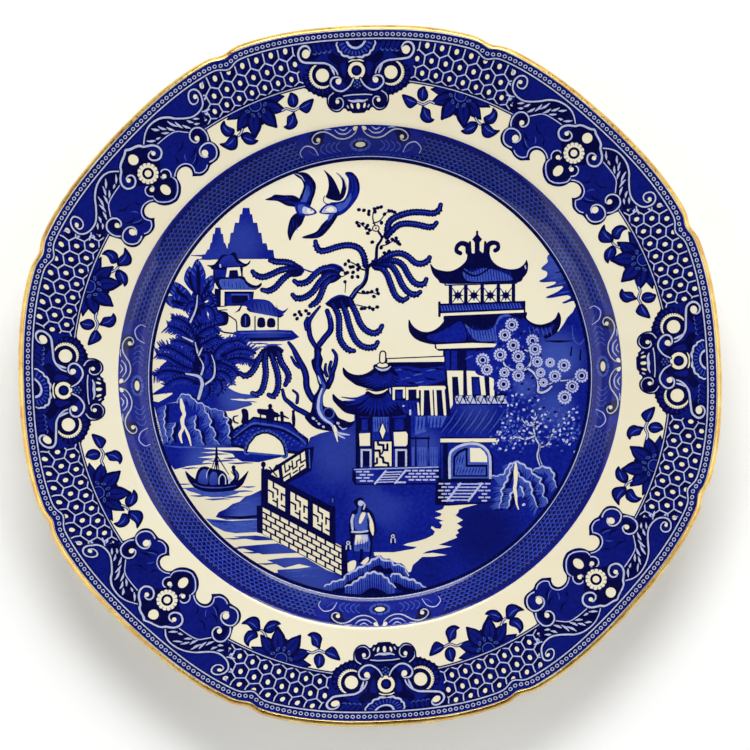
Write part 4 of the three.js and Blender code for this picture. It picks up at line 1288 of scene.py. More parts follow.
# --- the front pavilion ----------------------------------------------------
def draw_pavilion_roofs(p):
    p.fill(DEEP, [(6, 4.9), (26.4, 5.2), (27, -4), (8, -4)])
    p.fill(BLUE, [(7.6, 3.2), (12, 3.6), (18, 2.6), (26, 3.6), (26.4, -1.6), (20, -3.4), (8, -3.4)])
    draw_strokes(p, LIGHT, 0.55, [(8.4, 2), (15, 0.2), (19.6, 1.8), (10.6, -1.2), (15.6, -2.6)], (3.2, 0.6))
    draw_strokes(p, DEEP, 0.8, [(10.4, 2.6), (14, 1.8), (19, -0.8), (22, 2.8), (12.4, -2.4)], (4, -0.6))
    p.fill(BARE, [(4.9, 6.3), (26, 7.1), (26, 5.1), (5.6, 4.9)])
    p.bar(DEEP, 0.4, [(5, 6.2), (26, 7.1)])
    p.blob(DEEP, [
        (-10.3, 3.1), (-8.6, 1.5), (-6.6, 0.6), (-4.4, 0.4), (-2.1, 0.9), (-0.1, 2.1), (1.7, 3.8), (4, 5.6),
        (7, 3.8), (9, 1), (9.6, -2), (7, -4.2), (3, -5), (-0.4, -4.8), (-3.4, -4), (-5.8, -3.2),
        (-7.6, -1.9), (-9.4, -0.5), (-10.3, 1)])
    for k in range(13):
        turn = math.radians(205 + 11 * k)
        reach = 7.6 + 1.6 * abs(math.cos(turn))
        p.line(BLUE, [0.3, 0.75, 0.4], [
            (4 + 2.4 * math.cos(turn), 2.2 + 2.2 * math.sin(turn)),
            (4 + 0.6 * reach * math.cos(turn), 1.6 + 0.6 * reach * math.sin(turn)),
            (3.6 + reach * math.cos(turn), 1.8 + 0.76 * reach * math.sin(turn))])
    p.line(DEEP, [0.2, 0.8, 0.5, 0.2], [(-10.2, 2.6), (-8.6, 0.6), (-6, -0.6), (-2, -1)])
    p.line(DEEP, 1.9, [(1.4, 3.3), (2.6, 2.5), (4, 2.2), (5.6, 2.6), (6.8, 3.5)])
    p.line(PALE, [0.3, 0.8, 0.8, 0.3], [(1.4, 3.1), (2.6, 2.4), (4, 2.1), (5.6, 2.5), (6.8, 3.4)])
    p.edged_dot(3.9, 3.9, 1.9, 0.8)
    p.edged([1.7, 1.6], [(3.9, 5.6), (4, 7.9)], edge=0.5)
    p.line(DEEP, [0.3, 0.6], [(5.2, 6.6), (5.4, 5.4)])


def draw_pavilion_lower_roof(p):
    p.blob(DEEP, [
        (-13.9, -6.4), (-12.1, -8.1), (-10.1, -9.1), (-7.4, -9.4), (-4.8, -8.7), (-2.8, -7.2), (-1.8, -5.6),
        (1.2, -6.6), (3.9, -6.2), (6.2, -5.2), (9.6, -7.6), (14, -10), (15, -13), (8, -14.6), (-3, -14.6),
        (-6.3, -14), (-9.4, -13.2), (-11.4, -11.6), (-13, -9.9), (-14, -8.4)])
    for k in range(17):
        turn = math.radians(190 + 10.5 * k)
        near = (2 + 3.4 * math.cos(turn), -6.6 + 1.6 * math.sin(turn))
        reach = 13 if k < 3 else 9.4
        far = (2 + reach * math.cos(turn), -6.2 + 8.2 * math.sin(turn))
        middle = (0.5 * near[0] + 0.5 * far[0], 0.5 * near[1] + 0.5 * far[1] - 0.9 * abs(math.cos(turn)))
        p.line(BLUE, [0.25, 0.85, 0.3], [near, middle, far])
    p.fill(BLUE, [(8, -8.6), (17, -8.6), (17, -13.4), (12, -13.6)])
    draw_strokes(p, DEEP, 0.5, [(9 + 1.3 * k, -9) for k in range(6)], (0.8, -4))
    p.dot(PALE, 11.4, -10.8, 0.5, 0.3)
    p.line(DEEP, [0.7, 1.9, 1.9, 0.7], [(-1.7, -5), (1.2, -6), (3.9, -5.6), (5.8, -4.6)])
    p.line(BARE, [0.3, 0.85, 0.85, 0.3], [(-1.6, -5.1), (1.2, -6.1), (3.9, -5.7), (5.7, -4.7)])
    p.bar(PALE, [0.4, 0.8, 0.4], [(6.6, -4.4), (6.7, -5.4), (6.9, -6.4)])


def draw_colonnade(p):
    p.fill(DEEP, [(6.8, -3.6), (27.4, -3.4), (28.4, -14.2), (17, -14.2), (17, -9), (7, -8.8)])
    for x0, x1 in ((7.9, 11.6), (12.7, 16.5)):
        p.bar(BARE, 0.85, [(x0, -8.3), (x0, -4.5), (x1, -4.4), (x1, -7.6)])
    p.fill(BLUE, [(8.7, -5.6), (10.9, -5.6), (10.7, -8.2), (8.9, -8.2)])
    p.bar(BARE, 1.5, [(17.2, -4.4), (25.8, -4.3)])
    for x, slant in ((18.2, -0.1), (21.2, 0.5), (22.6, 0.5), (25.6, 0.7)):
        p.bar(BARE, [1.1, 0.95], [(x, -4.6), (x + slant, -13.8)])
    p.bar(BARE, [0.6, 0.8], [(16.6, -9.8), (16.9, -13.8)])
    p.bar(PALE, 0.7, [(13.8, -12.4), (13.8, -13.8)])
    p.bar(DEEP, 0.5, [(22, -5.2), (22.4, -13.8)])


def draw_pavilion_walls(p):
    p.fill(BLUE, [(-6.2, -13.8), (24, -13.8), (24, -33), (-6.4, -33)])
    for x, width in ((-5, 1.6), (-0.3, 1), (6.9, 1), (13.2, 1.6)):
        p.bar(DEEP, width, [(x, -14), (x, -33)])
    p.box(DEEP, -4.2, -15, -0.8, -20)
    p.box(DEEP, 7.4, -15, 12.4, -20)
    p.box(BLUE, -3.6, -15.6, -1.4, -19.6)
    p.box(BLUE, 8.2, -15.4, 11.4, -19.4)
    p.box(LIGHT, 0.6, -14.2, 6, -20)
    draw_strokes(p, BLUE, 0.5, [(1.2 + 0.9 * k, -14.6) for k in range(6)], (0.1, -5))
    p.fill(DEEP, [(3.9, -16.2), (5.5, -19.8), (3.9, -23.6), (2.3, -19.8)])
    for points in (
            [(3.9, -17), (4.95, -19.8), (3.9, -22.6), (2.85, -19.8)],
            [(-4.5, -20.7), (-0.6, -20.5), (-0.6, -25.1), (-4.3, -25.1)],
            [(7.8, -20.2), (12.3, -20), (12.9, -21), (12.8, -24.6), (12.2, -25.2), (8.1, -25.2)]):
        p.fill(BARE, points)
    p.bar(DEEP, 0.8, [(-5.4, -25.9), (-0.2, -25.9)])
    p.bar(DEEP, 0.8, [(7.2, -25.9), (13.6, -25.9)])
    for x0, x1 in ((-3.6, -0.4), (8.8, 12.3)):
        p.box(DEEP, x0, -26.6, x1, -32.6)
        p.bar(PALE, 0.7, [(x0, -32.5), (x0, -26.6), (x1, -26.6), (x1, -32.5)])


def draw_fret_door(p):
    p.box(DEEP, 0.4, -23.2, 7.7, -33)
    p.box(BARE, 1.1, -23.6, 7.1, -32.4)
    p.bar(DEEP, 0.85, [(2.1, -23.4), (2.4, -24.7), (4.2, -24.9), (4.2, -26.6), (5.6, -26.6), (5.6, -24.6)])
    p.bar(DEEP, 0.85, [(1, -26.8), (2.8, -26.8), (3, -29), (4, -29.4), (4.2, -31), (5.9, -31.4), (6, -32.6)])
    p.bar(DEEP, 0.8, [(1.9, -29.6), (1.9, -31.2), (1.2, -31.6)])
    p.bar(DEEP, 0.6, [(4.2, -26.6), (3.6, -28)])


def draw_pavilion_side_panels(p):
    p.box(BLUE, 14, -13.8, 24.6, -33)
    p.fill(LIGHT, [(15.4, -14.6), (19.2, -14.6), (19.6, -20), (15.6, -21.2)])
    p.fill(LIGHT, [(20, -14.4), (27, -14.4), (25, -18.4), (20.4, -18.6)])
    draw_strokes(p, BLUE, 0.7, [(15.6 + 1.3 * k, -14.8) for k in range(8)], (-0.4, -4.8))
    for x0, x1 in ((14.4, 15.3), (16.4, 19.9), (20.9, 23.6)):
        p.box(LIGHT, x0, -25.6, x1, -32.4)
    for x in (15.8, 20.3):
        p.bar(DEEP, 0.5, [(x, -22), (x, -32.6)])
    draw_strokes(p, BLUE, 0.45, [(16.8 + 0.9 * k, -26) for k in range(8)], (0, -6))
    p.bar(DEEP, 0.7, [(14, -22.4), (20.6, -22.4)])


def draw_pavilion_base(p):
    p.fill(DEEP, [(-6.9, -33), (24, -32.2), (24, -39), (-6, -39.2), (-7, -37.6)])
    p.fill(BLUE, [(-5.9, -33.8), (23.4, -33.2), (23.4, -38.4), (-5.4, -38.6)])
    p.bar(LIGHT, 0.7, [(-6.2, -33.6), (23.7, -32.7)])
    p.bar(PALE, 0.26, [(-6.2, -33.6), (23.7, -32.7)])
    draw_brick_rows(p, -5.4, 1.6, -34.4, 4, 1.1, 2.7)
    draw_brick_rows(p, 12.2, 24.4, -34, 4, 1.1, 2.5)
    for row in range(5):
        p.bar(PALE, 0.36, [(4.8 - 0.75 * row, -34.6 - 0.9 * row), (10.8 - 0.75 * row, -34.4 - 0.9 * row)])
    p.bar(PALE, 0.7, [(1.2, -38.6), (5, -34.2)])
    p.bar(PALE, 0.7, [(8.4, -38.4), (12.2, -33.9)])
    p.bar(PALE, 0.6, [(8.6, -38.2), (12, -38.2)])


def draw_front_pavilion(p):
    draw_pavilion_walls(p)
    draw_pavilion_side_panels(p)
    draw_pavilion_lower_roof(p)
    draw_pavilion_roofs(p)
    draw_colonnade(p)
    draw_fret_door(p)
    draw_pavilion_base(p)


# --- the willow ------------------------------------------------------------
def draw_willow_limb(p, widths, points):
    """A limb of the trunk: dark with a lighter blue heart."""
    p.line(DEEP, widths, points)
    p.line(BLUE, np.array(widths) * 0.42, points)


def draw_willow_trunk(p):
    limbs = [
        ([1.6, 1.9, 1.9, 1.8, 1.3, 0.9],
         [(-19.8, 10), (-21.8, 13.4), (-22.5, 16.5), (-22.5, 19.5), (-21, 22), (-18.6, 25)]),
        ([1.4, 1.6, 1], [(-23.4, 16.8), (-23.7, 19), (-23.1, 21)]),
        ([2.2, 2.2, 2.2, 1.8], [(-19, 11), (-17, 13.6), (-14.8, 16.5), (-14.9, 20), (-16, 23.4)]),
        ([1.1, 1.6, 1.9, 2.1, 2.2],
         [(-14, 9.3), (-12.8, 7.4), (-13, 4.5), (-14, 1.5), (-14.5, -1), (-15.8, -3.8)]),
        ([1.2, 1.4], [(-14.6, 5), (-15.2, 2.6), (-14.6, 0.4)]),
        ([1, 1.3], [(-16.5, 4.2), (-16.7, 2.2), (-16, 0)]),
        ([1.2, 2.2, 2.4, 2.4, 2.4],
         [(-29.8, 12), (-28.2, 9.8), (-26.3, 6), (-24.6, 3), (-23.6, 0), (-23.3, -4), (-21.8, -7.4),
          (-19.8, -9.7)]),
        ([1, 1.5], [(-28.8, 6.8), (-27.5, 4.5), (-26, 3.2)]),
        ([1.2, 1.8, 2, 2],
         [(-32, -5), (-31.2, -8), (-29, -10), (-27.2, -11.6), (-24.5, -13), (-22, -14.5), (-19.5, -16.4)]),
        ([0.9, 1.3], [(-28.2, -5.2), (-26.6, -6.8), (-26.8, -9.6)])]
    for widths, points in limbs:
        draw_willow_limb(p, widths, points)
    p.blob(DEEP, [
        (-20.5, 10.4), (-20.7, 6.6), (-21.7, 5.6), (-21.2, 2.8), (-20.1, 0.5), (-19.4, -2.2), (-18.9, -3.8),
        (-19.6, -5.5), (-20.9, -7.4), (-21.4, -10.4), (-22, -13), (-24, -14.6), (-22.6, -16.8),
        (-20.7, -18.4), (-18.7, -19.2), (-14, -19.8), (-8, -18.6), (-6, -16), (-7.6, -16.6), (-9.6, -16),
        (-11.8, -15), (-12.9, -13.4), (-13.8, -12.2), (-15.4, -11.4), (-17.2, -10.6), (-17.4, -7.4),
        (-16.4, -5), (-14.9, -3.2), (-16, -1.4), (-17.1, 1.5), (-18, 3.2), (-17.5, 6), (-18.2, 8),
        (-18, 10)])
    p.blob(BLUE, [
        (-19.6, 9.6), (-19.9, 5), (-20, 2.4), (-19, -0.5), (-18.2, -3.4), (-18.8, -6), (-20, -8.4),
        (-20.4, -11.4), (-19, -15), (-15.6, -17.4), (-13.4, -16.4), (-16.8, -14), (-17.9, -11),
        (-18.2, -7.6), (-17.2, -4), (-17, -2.2), (-18.3, 1), (-19, 4.4), (-18.7, 8)])
    p.blob(LIGHT, [
        (-18.9, -0.4), (-17.6, -3.4), (-18, -6), (-19.2, -8.4), (-19.6, -12), (-17.6, -15.2), (-17.6, -12),
        (-17.7, -9), (-17.2, -6), (-16.6, -3.6), (-17.6, -2)])
    p.line(PALE, [0.5, 0.9, 1.1, 0.9, 0.8], [
        (-17.8, -4.6), (-18.9, -8), (-19.1, -12), (-17.4, -15.2), (-14.4, -17.4), (-13.2, -20)])
    p.line(PALE, [0.3, 0.7, 0.3], [(-19.2, 0), (-18.7, -1.6), (-18.2, -2.8)])
    p.line(PALE, [0.2, 0.5, 0.2], [(-17.2, 0.6), (-16.6, -0.8), (-16.2, -2)])
    p.bar(LIGHT, 0.5, [(-14.9, 22.4), (-14.7, 21)])


def draw_willow_foot(p):
    p.ring(LIGHT, -15.4, -13.4, 1.9, 0.5)
    p.dot(DEEP, -15.4, -13.5, 1.2, 1.1)
    for x, y, size in ((-20.9, -15.3, 0.7), (-18.9, -17.2, 0.6), (-17.3, -18.3, 0.6), (-12.1, -17, 0.65),
                       (-19.8, -16.2, 0.35)):
        p.edged_dot(x, y, size, 0.7 * size, -30, PALE, 0.35)
    p.line(BARE, [0.6, 1.3, 1.2, 0.7, 0.3], [(-13.4, -18), (-12.9, -19.8), (-12.7, -21.4), (-12.2, -23.6)])
    p.line(PALE, [0.6, 0.8, 0.3], [(-12.4, -20.2), (-10.6, -20.8), (-8, -21.2)])
    p.line(PALE, [0.5, 0.7, 0.3], [(-12.2, -21), (-10.8, -21.9), (-9.6, -22.4)])
    p.line(PALE, [0.3, 0.5, 0.2], [(-11.8, -18), (-10.4, -19.1), (-9, -18.7)])


def draw_willow_branches(p):
    p.line(DEEP, [2.2, 1.9, 1.6, 1.4, 1.2, 1, 0.8], [
        (-9.4, 25.6), (-6.8, 28.8), (-5.4, 31), (-3.6, 32.4), (-2.3, 34.3), (-1.8, 36.5), (-1.3, 39.3),
        (0.6, 40.6), (1.6, 42.4), (1.7, 44), (2, 46.8), (3.2, 48.6), (3.6, 50), (2.4, 52)])
    p.line(LIGHT, [0.5, 0.4, 0.2], [(-8.4, 27), (-6, 30.2), (-3.4, 33.4), (-2, 36.6)])
    for widths, points in (
            ([0.8, 0.5], [(3.6, 49.4), (5.2, 52), (5.5, 54)]),
            ([0.6, 0.4], [(1.8, 53), (0.6, 55.8), (0.4, 57.5), (0.7, 59.8)]),
            ([0.7, 0.4], [(-1.6, 38), (-4, 38.6), (-6, 40.2), (-8, 41.2)]),
            ([0.5, 0.3], [(0.5, 55), (3, 56), (5, 58.6), (7, 59.6)]),
            ([0.5, 0.3], [(1.4, 53.4), (-0.6, 52.4), (-3, 54), (-4.6, 55.4)]),
            ([0.5, 0.3], [(3.2, 46.8), (5.6, 47.4), (8.4, 49), (10, 48.6)]),
            ([0.4, 0.3], [(-9.4, 34.2), (-9.4, 32.2), (-9.6, 30)]),
            ([0.6, 0.3], [(-5, 30), (-2.4, 29.6), (0.4, 30), (1.8, 29.4)]),
            ([0.4, 0.3], [(-5.4, 25.6), (-3, 25), (-1, 24.6), (1.4, 24.4)])):
        p.line(DEEP, widths, points)
    p.edged_dot(1.5, 53.2, 1, 0.9, 0, BARE, 0.4)
    p.dot(DEEP, 1.5, 53.2, 0.35)


def draw_frond(p, points):
    """A hanging frond: a dark stroke with a beaded edge, ribbed across its lighter middle."""
    width = 2.2
    p.line(DEEP, np.array([0.9, 1, 1, 1, 0.8]) * width, points)
    for x, y, heading in list(along(points, 0.98))[:-1]:
        for side in (1, -1):
            bead = polar((x, y), 0.47 * width, math.radians(heading + 90 * side))
            p.dot(DEEP, *bead, 0.4, 0.26, heading)
    p.line(BLUE, np.array([0.3, 0.6, 0.6, 0.6, 0.4]) * width, points)
    for k, (x, y, heading) in enumerate(along(points, 0.9)):
        out = math.radians(heading + 62)
        dx, dy = 0.38 * width * math.cos(out), 0.38 * width * math.sin(out)
        p.bar(DEEP, 0.26, [(x - dx, y - dy), (x + dx, y + dy)])
        if k > 2:
            p.dot(LIGHT, x + 0.3 * dx + 0.3, y + 0.3 * dy, 0.26, 0.17, heading)


def draw_fronds(p):
    hubs = [
        [(-16.6, 26), (-14, 28), (-11, 29), (-8, 28.4), (-6.6, 26.4), (-9, 24.4), (-12, 24.2),
         (-14.6, 24.6)],
        [(-18, 39), (-14.4, 40.2), (-11, 39.2), (-9.8, 37.4), (-11.4, 35), (-14.4, 33.4), (-17.6, 34.4)],
        [(-30, 40), (-26.6, 40), (-24.4, 38.2), (-25.4, 36.2), (-28.6, 35.6), (-30.6, 37.4)],
        [(-39.9, 8.4), (-37.4, 10.8), (-34.4, 11), (-31.6, 9.2), (-33.4, 7.2), (-37, 6.8)],
        [(0, 41.6), (3.4, 42), (6, 41), (5.6, 38.8), (2.6, 37.8), (0.2, 38.8)]]
    for hub in hubs:
        p.blob(DEEP, hub)
        p.line(BLUE, [0.3, 0.7, 0.3], hub[:4])
    fronds = [
        [(5.4, 50), (5.9, 54.5), (7.5, 56.6), (10.5, 58), (14, 58.9), (18, 59), (22, 58.6), (24, 59.5),
         (24.8, 61.7)],
        [(5.6, 50.6), (9, 54), (12, 54.9), (16, 54.6), (20, 53.7), (22, 53.8), (23.3, 55.2)],
        [(-2.2, 39.6), (-2.8, 43), (-4.5, 45.9), (-8, 47.1), (-12, 46.6), (-16, 45.3), (-18.5, 45),
         (-19.8, 46.3), (-20.2, 48.4)],
        [(2.5, 41), (6, 43.4), (10, 44.2), (13, 43), (15.5, 40.8), (18, 40.4), (20, 41.3), (20.8, 42.7)],
        [(4, 40.8), (8, 41.5), (11, 40), (12.8, 37), (14.8, 34), (17, 32.8), (18.8, 33.2), (19.6, 34.8)],
        [(3, 40), (6.5, 40), (9, 37), (10.8, 33), (13, 30.2), (15.5, 29.2), (17.4, 30.2)],
        [(1, 39.3), (3.5, 38.8), (5.5, 36.5), (6.8, 33), (8.5, 29), (10.8, 27.2), (12.8, 28)],
        [(-11.5, 37.5), (-14, 38.8), (-17.5, 38.6), (-20.5, 36.5), (-23, 34), (-26, 33.2), (-27.8, 34.2)],
        [(-12.5, 36.5), (-15.5, 36.5), (-18.5, 34), (-21, 30.5), (-24, 28.3), (-27, 27.9), (-28.4, 29.2)],
        [(-13, 35.6), (-16.5, 33.5), (-18, 30), (-19.5, 27), (-22, 25.2)],
        [(-26.5, 38.7), (-28.5, 40.3), (-31, 41), (-34, 41.1), (-36.5, 41.6)],
        [(-27.6, 38.6), (-30, 38.6), (-33, 38), (-36, 36.6), (-39, 35.6), (-41.5, 36.2), (-42.8, 37.6)],
        [(-29.5, 36.8), (-32, 34.8), (-34.5, 32), (-37, 30.6), (-39.3, 31)],
        [(-14, 26), (-12, 22), (-11.7, 18), (-11.6, 14), (-10.4, 11.4), (-8.5, 9.4), (-6.4, 9)],
        [(-11, 27), (-9.2, 22.5), (-8, 18), (-6.5, 14), (-4.6, 11.5), (-2, 10.2), (0.9, 10.4), (2.1, 12.1)],
        [(-8, 27.5), (-5.6, 22.5), (-4.4, 19.4), (-2.3, 16.6), (0.5, 15.3), (2.5, 16), (3.7, 18)],
        [(-38.5, 9), (-40.5, 6), (-41.8, 3.2), (-43.6, 0.8), (-45.5, 0), (-47.3, 1)],
        [(-38, 8.5), (-38.3, 5), (-38, 1), (-38.6, -2.8), (-39.5, -5.4), (-41, -6.6), (-42.8, -6.2)],
        [(-36, 8), (-35, 4.8), (-33.8, 0.8), (-33.5, -3), (-34.2, -6), (-35.5, -7.4), (-36.9, -6.8)],
        [(-33.5, 8.5), (-32.4, 4.8), (-30.6, 2), (-29.8, -0.5), (-31, -3.2)]]
    for frond in fronds:
        draw_frond(p, frond)
    p.line(BLUE, [0.5, 0.8], [(-24.4, 38.4), (-21, 37.4), (-18, 38.6)])
    p.edged_dot(-10.6, 36.8, 0.9, 0.8, 0, BARE, 0.35)
    p.dot(DEEP, -9.6, 33.9, 0.65)


def draw_blossoms(p):
    """Small round flowers on the willow's twigs: single dots in loose bunches."""
    dots = [
        (-4.6, 59.9), (-2.8, 59.7), (-1, 59.3), (-1.1, 58.3), (1, 60.2), (2.2, 60.6), (3.4, 60.9),
        (1.2, 59.2), (6.2, 59.5), (7.2, 59.4), (8.2, 59), (4.6, 58.3), (3.5, 55.2), (-5.3, 55.2),
        (-4.6, 54.1), (-3.2, 54.8), (-1.5, 54.2), (-2, 53.3), (-0.8, 52.6), (-1.4, 51.4), (0.2, 48.2),
        (3.4, 46.2), (5.4, 48.2), (6, 48.5), (7.4, 49.2), (8.5, 48.6), (9.4, 48), (8.8, 49.6), (10, 47.5),
        (4.6, 44.3), (6.2, 44.9), (-9.5, 40.2), (-8.3, 41.4), (-7.7, 39.2), (-6.8, 39.3), (-5, 40),
        (-4.4, 39), (-5, 38.3), (-9.4, 36.9), (-8.8, 37.2), (-6.7, 37.3), (-7, 35.6), (-5, 35.7), (-3, 30.2),
        (-1.5, 30), (0, 30.3), (1.9, 31), (2.3, 29.7), (0.8, 28.6), (-3.6, 24.2), (-2.4, 24.4), (-0.8, 24.6),
        (0.4, 24), (2, 24.8), (-27.6, 22), (-26.8, 20.6), (-26, 23), (-25.4, 22), (-23.6, 23.4),
        (-22.6, 22.4)]
    for k, (x, y) in enumerate(dots):
        p.dot(DEEP, x, y, 0.78, 0.66, 37 * k)


# --- the two birds ---------------------------------------------------------
def draw_left_bird(p):
    p.blob(DEEP, [
        (-38.3, 63.5), (-35.9, 64.7), (-34.9, 65.4), (-31.6, 65.2), (-28.2, 65.1), (-26, 63.9), (-24.6, 62),
        (-26, 60.4), (-28.2, 61), (-30.6, 61.4), (-33.9, 63)])
    draw_strokes(p, BLUE, 0.4, [(-36, 63.9), (-33.6, 63.9), (-31.4, 62.8), (-31.8, 64.4), (-29.4, 62.4)],
                 (3, -0.2))
    p.blob(DEEP, [
        (-27.9, 72.9), (-25.8, 73.5), (-23.4, 73.2), (-21.4, 71.4), (-20.1, 69), (-20.3, 66.4),
        (-21.2, 63.7), (-22.5, 60.9), (-25.8, 60.5), (-26.2, 63.4), (-25, 66.6), (-24.5, 68.6),
        (-25.2, 70.6), (-26.8, 71.8)])
    p.blob(BLUE, [
        (-25, 72.4), (-22.6, 70.8), (-21.2, 68.6), (-21.6, 65.4), (-23, 62.6), (-25, 61.6), (-24.6, 65.2),
        (-23.8, 68.4), (-24.2, 70.8)])
    p.blob(LIGHT, [
        (-23, 69), (-22.2, 66.6), (-23.2, 63.6), (-24.8, 61.4), (-26.4, 61.4), (-25, 64), (-24, 66.8)])
    for shift in (0, 1, 2):
        p.line(DEEP, [0.2, 0.4, 0.15], [
            (-26 + shift, 72.7), (-24 + 0.8 * shift, 71.2), (-22.9 + 0.7 * shift, 68.8),
            (-23.4 + 0.7 * shift, 65.6)])
    p.line(PALE, [0.15, 0.4, 0.15], [(-27.4, 73), (-25.4, 72), (-24.2, 70.2)])
    p.blob(DEEP, [
        (-26.9, 58.8), (-28.9, 57.2), (-29.8, 55), (-30.3, 51.5), (-29.4, 48.7), (-28.4, 50.8),
        (-27.1, 52.8), (-25.3, 54.5), (-24.2, 57), (-23.4, 59.4)])
    draw_strokes(p, BLUE, 0.4, [(-28.4, 56.6), (-29.2, 54.4), (-27, 55.4)], (0.2, -3))
    p.blob(BLUE, [(-27.6, 62), (-24.6, 62.8), (-22, 61.2), (-22.6, 58.6), (-24.8, 57.6), (-27, 58.8)])
    p.blob(LIGHT, [(-26.6, 61.4), (-24.6, 61.8), (-23.4, 60.4), (-24.2, 58.6), (-26, 58.8)])
    p.blob(BLUE, [(-23.6, 61.4), (-21.4, 60.7), (-19.7, 59), (-21.4, 58), (-24.2, 58)])
    p.blob(PALE, [(-24.4, 61), (-21.8, 60.2), (-20.5, 59.1), (-21.6, 58.4), (-24.2, 58.4), (-25, 59.4)])
    p.blob(BARE, [(-23.2, 60.4), (-21.6, 59.8), (-20.9, 59.1), (-21.8, 58.7), (-23.2, 58.9)])
    p.dot(DEEP, -21.8, 59.7, 0.22)


def draw_right_bird(p):
    p.blob(DEEP, [
        (-17.2, 74.3), (-14.6, 72.1), (-13.2, 70), (-12.1, 67.7), (-11.3, 65.4), (-11.5, 63.2),
        (-14.4, 63.5), (-16.6, 64.5), (-16.1, 65.7), (-15.5, 68.4), (-15.7, 70.7), (-16.2, 72.4)])
    p.blob(DEEP, [
        (-12.9, 73.4), (-10.4, 71.7), (-9.1, 68.7), (-9.3, 66.4), (-10.1, 64.4), (-11.6, 63.2), (-11.2, 66),
        (-10.6, 68.6), (-10.9, 71)])
    p.blob(BLUE, [
        (-9.6, 73.2), (-7.4, 73.6), (-5.5, 72), (-4.5, 69.7), (-4.3, 67), (-5.1, 64.4), (-6.6, 62.1),
        (-8, 60.4), (-10.1, 58.6), (-12.7, 57.8), (-16, 60.4), (-15, 62.4), (-12, 62.8), (-10, 63.6),
        (-8.8, 65.8), (-8.4, 68.6), (-8.4, 71)])
    p.blob(LIGHT, [
        (-8, 66), (-7.2, 64.4), (-8.8, 61.4), (-11, 59.6), (-13, 59.4), (-14, 61), (-12, 62.2),
        (-9.6, 62.8)])
    p.line(DEEP, [0.5, 0.8, 0.8, 0.3], [(-9.2, 73.3), (-6.4, 72.4), (-4.9, 69.4), (-4.9, 66)])
    for shift in (0, 1.1):
        p.line(DEEP, [0.25, 0.45, 0.2], [
            (-8.4 + shift, 72.6), (-7.6 + shift, 70), (-7.6 + shift, 66.8), (-8.8 + shift, 64)])
    p.line(PALE, [0.15, 0.35, 0.15], [(-12.2, 72.9), (-9.9, 70.9), (-9.2, 68)])
    p.blob(BLUE, [(-18.9, 58.9), (-16.8, 61.6), (-14.6, 62.2), (-12.6, 61), (-12.4, 58.8), (-15, 58.2)])
    p.blob(PALE, [(-18, 59), (-16.5, 61), (-14.6, 61.4), (-12.8, 60.6), (-12.8, 59), (-15.4, 58.8)])
    p.blob(BARE, [(-16.6, 59.8), (-15.4, 60.8), (-14, 60.8), (-13.4, 59.6), (-15, 59.1)])
    p.dot(DEEP, -16.5, 60.3, 0.22)
    p.line(BLUE, [0.3, 0.35], [(-17, 64.9), (-17.4, 63.4), (-16.6, 62.2), (-14.6, 61.9)])
    p.blob(DEEP, [
        (-13.7, 58.2), (-17.7, 54.9), (-20, 52), (-24.6, 50.3), (-24.6, 49.6), (-20, 49.6), (-17.5, 50.7),
        (-15, 53.4), (-13.2, 56), (-12.1, 58.2)])
    p.blob(LIGHT, [(-15.4, 58), (-13.8, 58.4), (-14.6, 56.6), (-15.8, 55.8)])
    draw_strokes(p, BLUE, 0.45, [(-14.2, 56.8), (-16, 54.2), (-18.2, 52.2)], (-2.6, -2.2))


# --- fence, figure and the ring --------------------------------------------
def fence_slope(x):
    return -0.54 * (x + 37.2)


def draw_fret_panel(p, x0, x1, top, height):
    """A white panel with a dark stepped fret, sheared along the fence."""
    def at(u, v):
        return (x0 + (x1 - x0) * u, top + fence_slope(x0 + (x1 - x0) * u) - height * v)
    p.fill(BARE, [at(0.02, 0.02), at(0.98, 0.02), at(0.98, 0.98), at(0.02, 0.98)])
    for fret in ([(0.32, 0), (0.32, 0.24), (0.56, 0.24), (0.56, 0.44)], [(0, 0.46), (0.3, 0.46), (0.3, 0.66)],
                 [(1, 0.32), (0.78, 0.32), (0.78, 0.58)], [(0.54, 1), (0.54, 0.78), (0.3, 0.78)],
                 [(0.54, 0.62), (0.54, 0.78)], [(1, 0.8), (0.78, 0.8)]):
        p.bar(DEEP, 0.62, [at(u, v) for u, v in fret])


def draw_bricks(p):
    """The white bricks of the wall under the fence, cut off at its two ends."""
    top, foot = (-39.4, -46.4), (-10.2, -61.7)
    p.fill(DEEP, [top, foot, (-10.2, -72.2), (-39.4, -56.6)])
    slope = (foot[1] - top[1]) / (foot[0] - top[0])
    wall_start, wall_end = -39, -10.7
    pitch, length, height, shortest, row_step = 3.25, 2.6, 1.42, 0.6, 2.02
    for row in range(5):
        for brick in range(-1, 10):
            x0 = wall_start + pitch * brick + (1.62 if row % 2 else 0)
            x1 = min(x0 + length, wall_end)
            x0 = max(x0, wall_start)
            if x1 - x0 < shortest:
                continue
            y0 = top[1] + slope * (x0 - top[0]) - 0.55 - row_step * row
            y1 = top[1] + slope * (x1 - top[0]) - 0.55 - row_step * row
            p.fill(BARE, [(x0, y0), (x1, y1), (x1, y1 - height), (x0, y0 - height)])


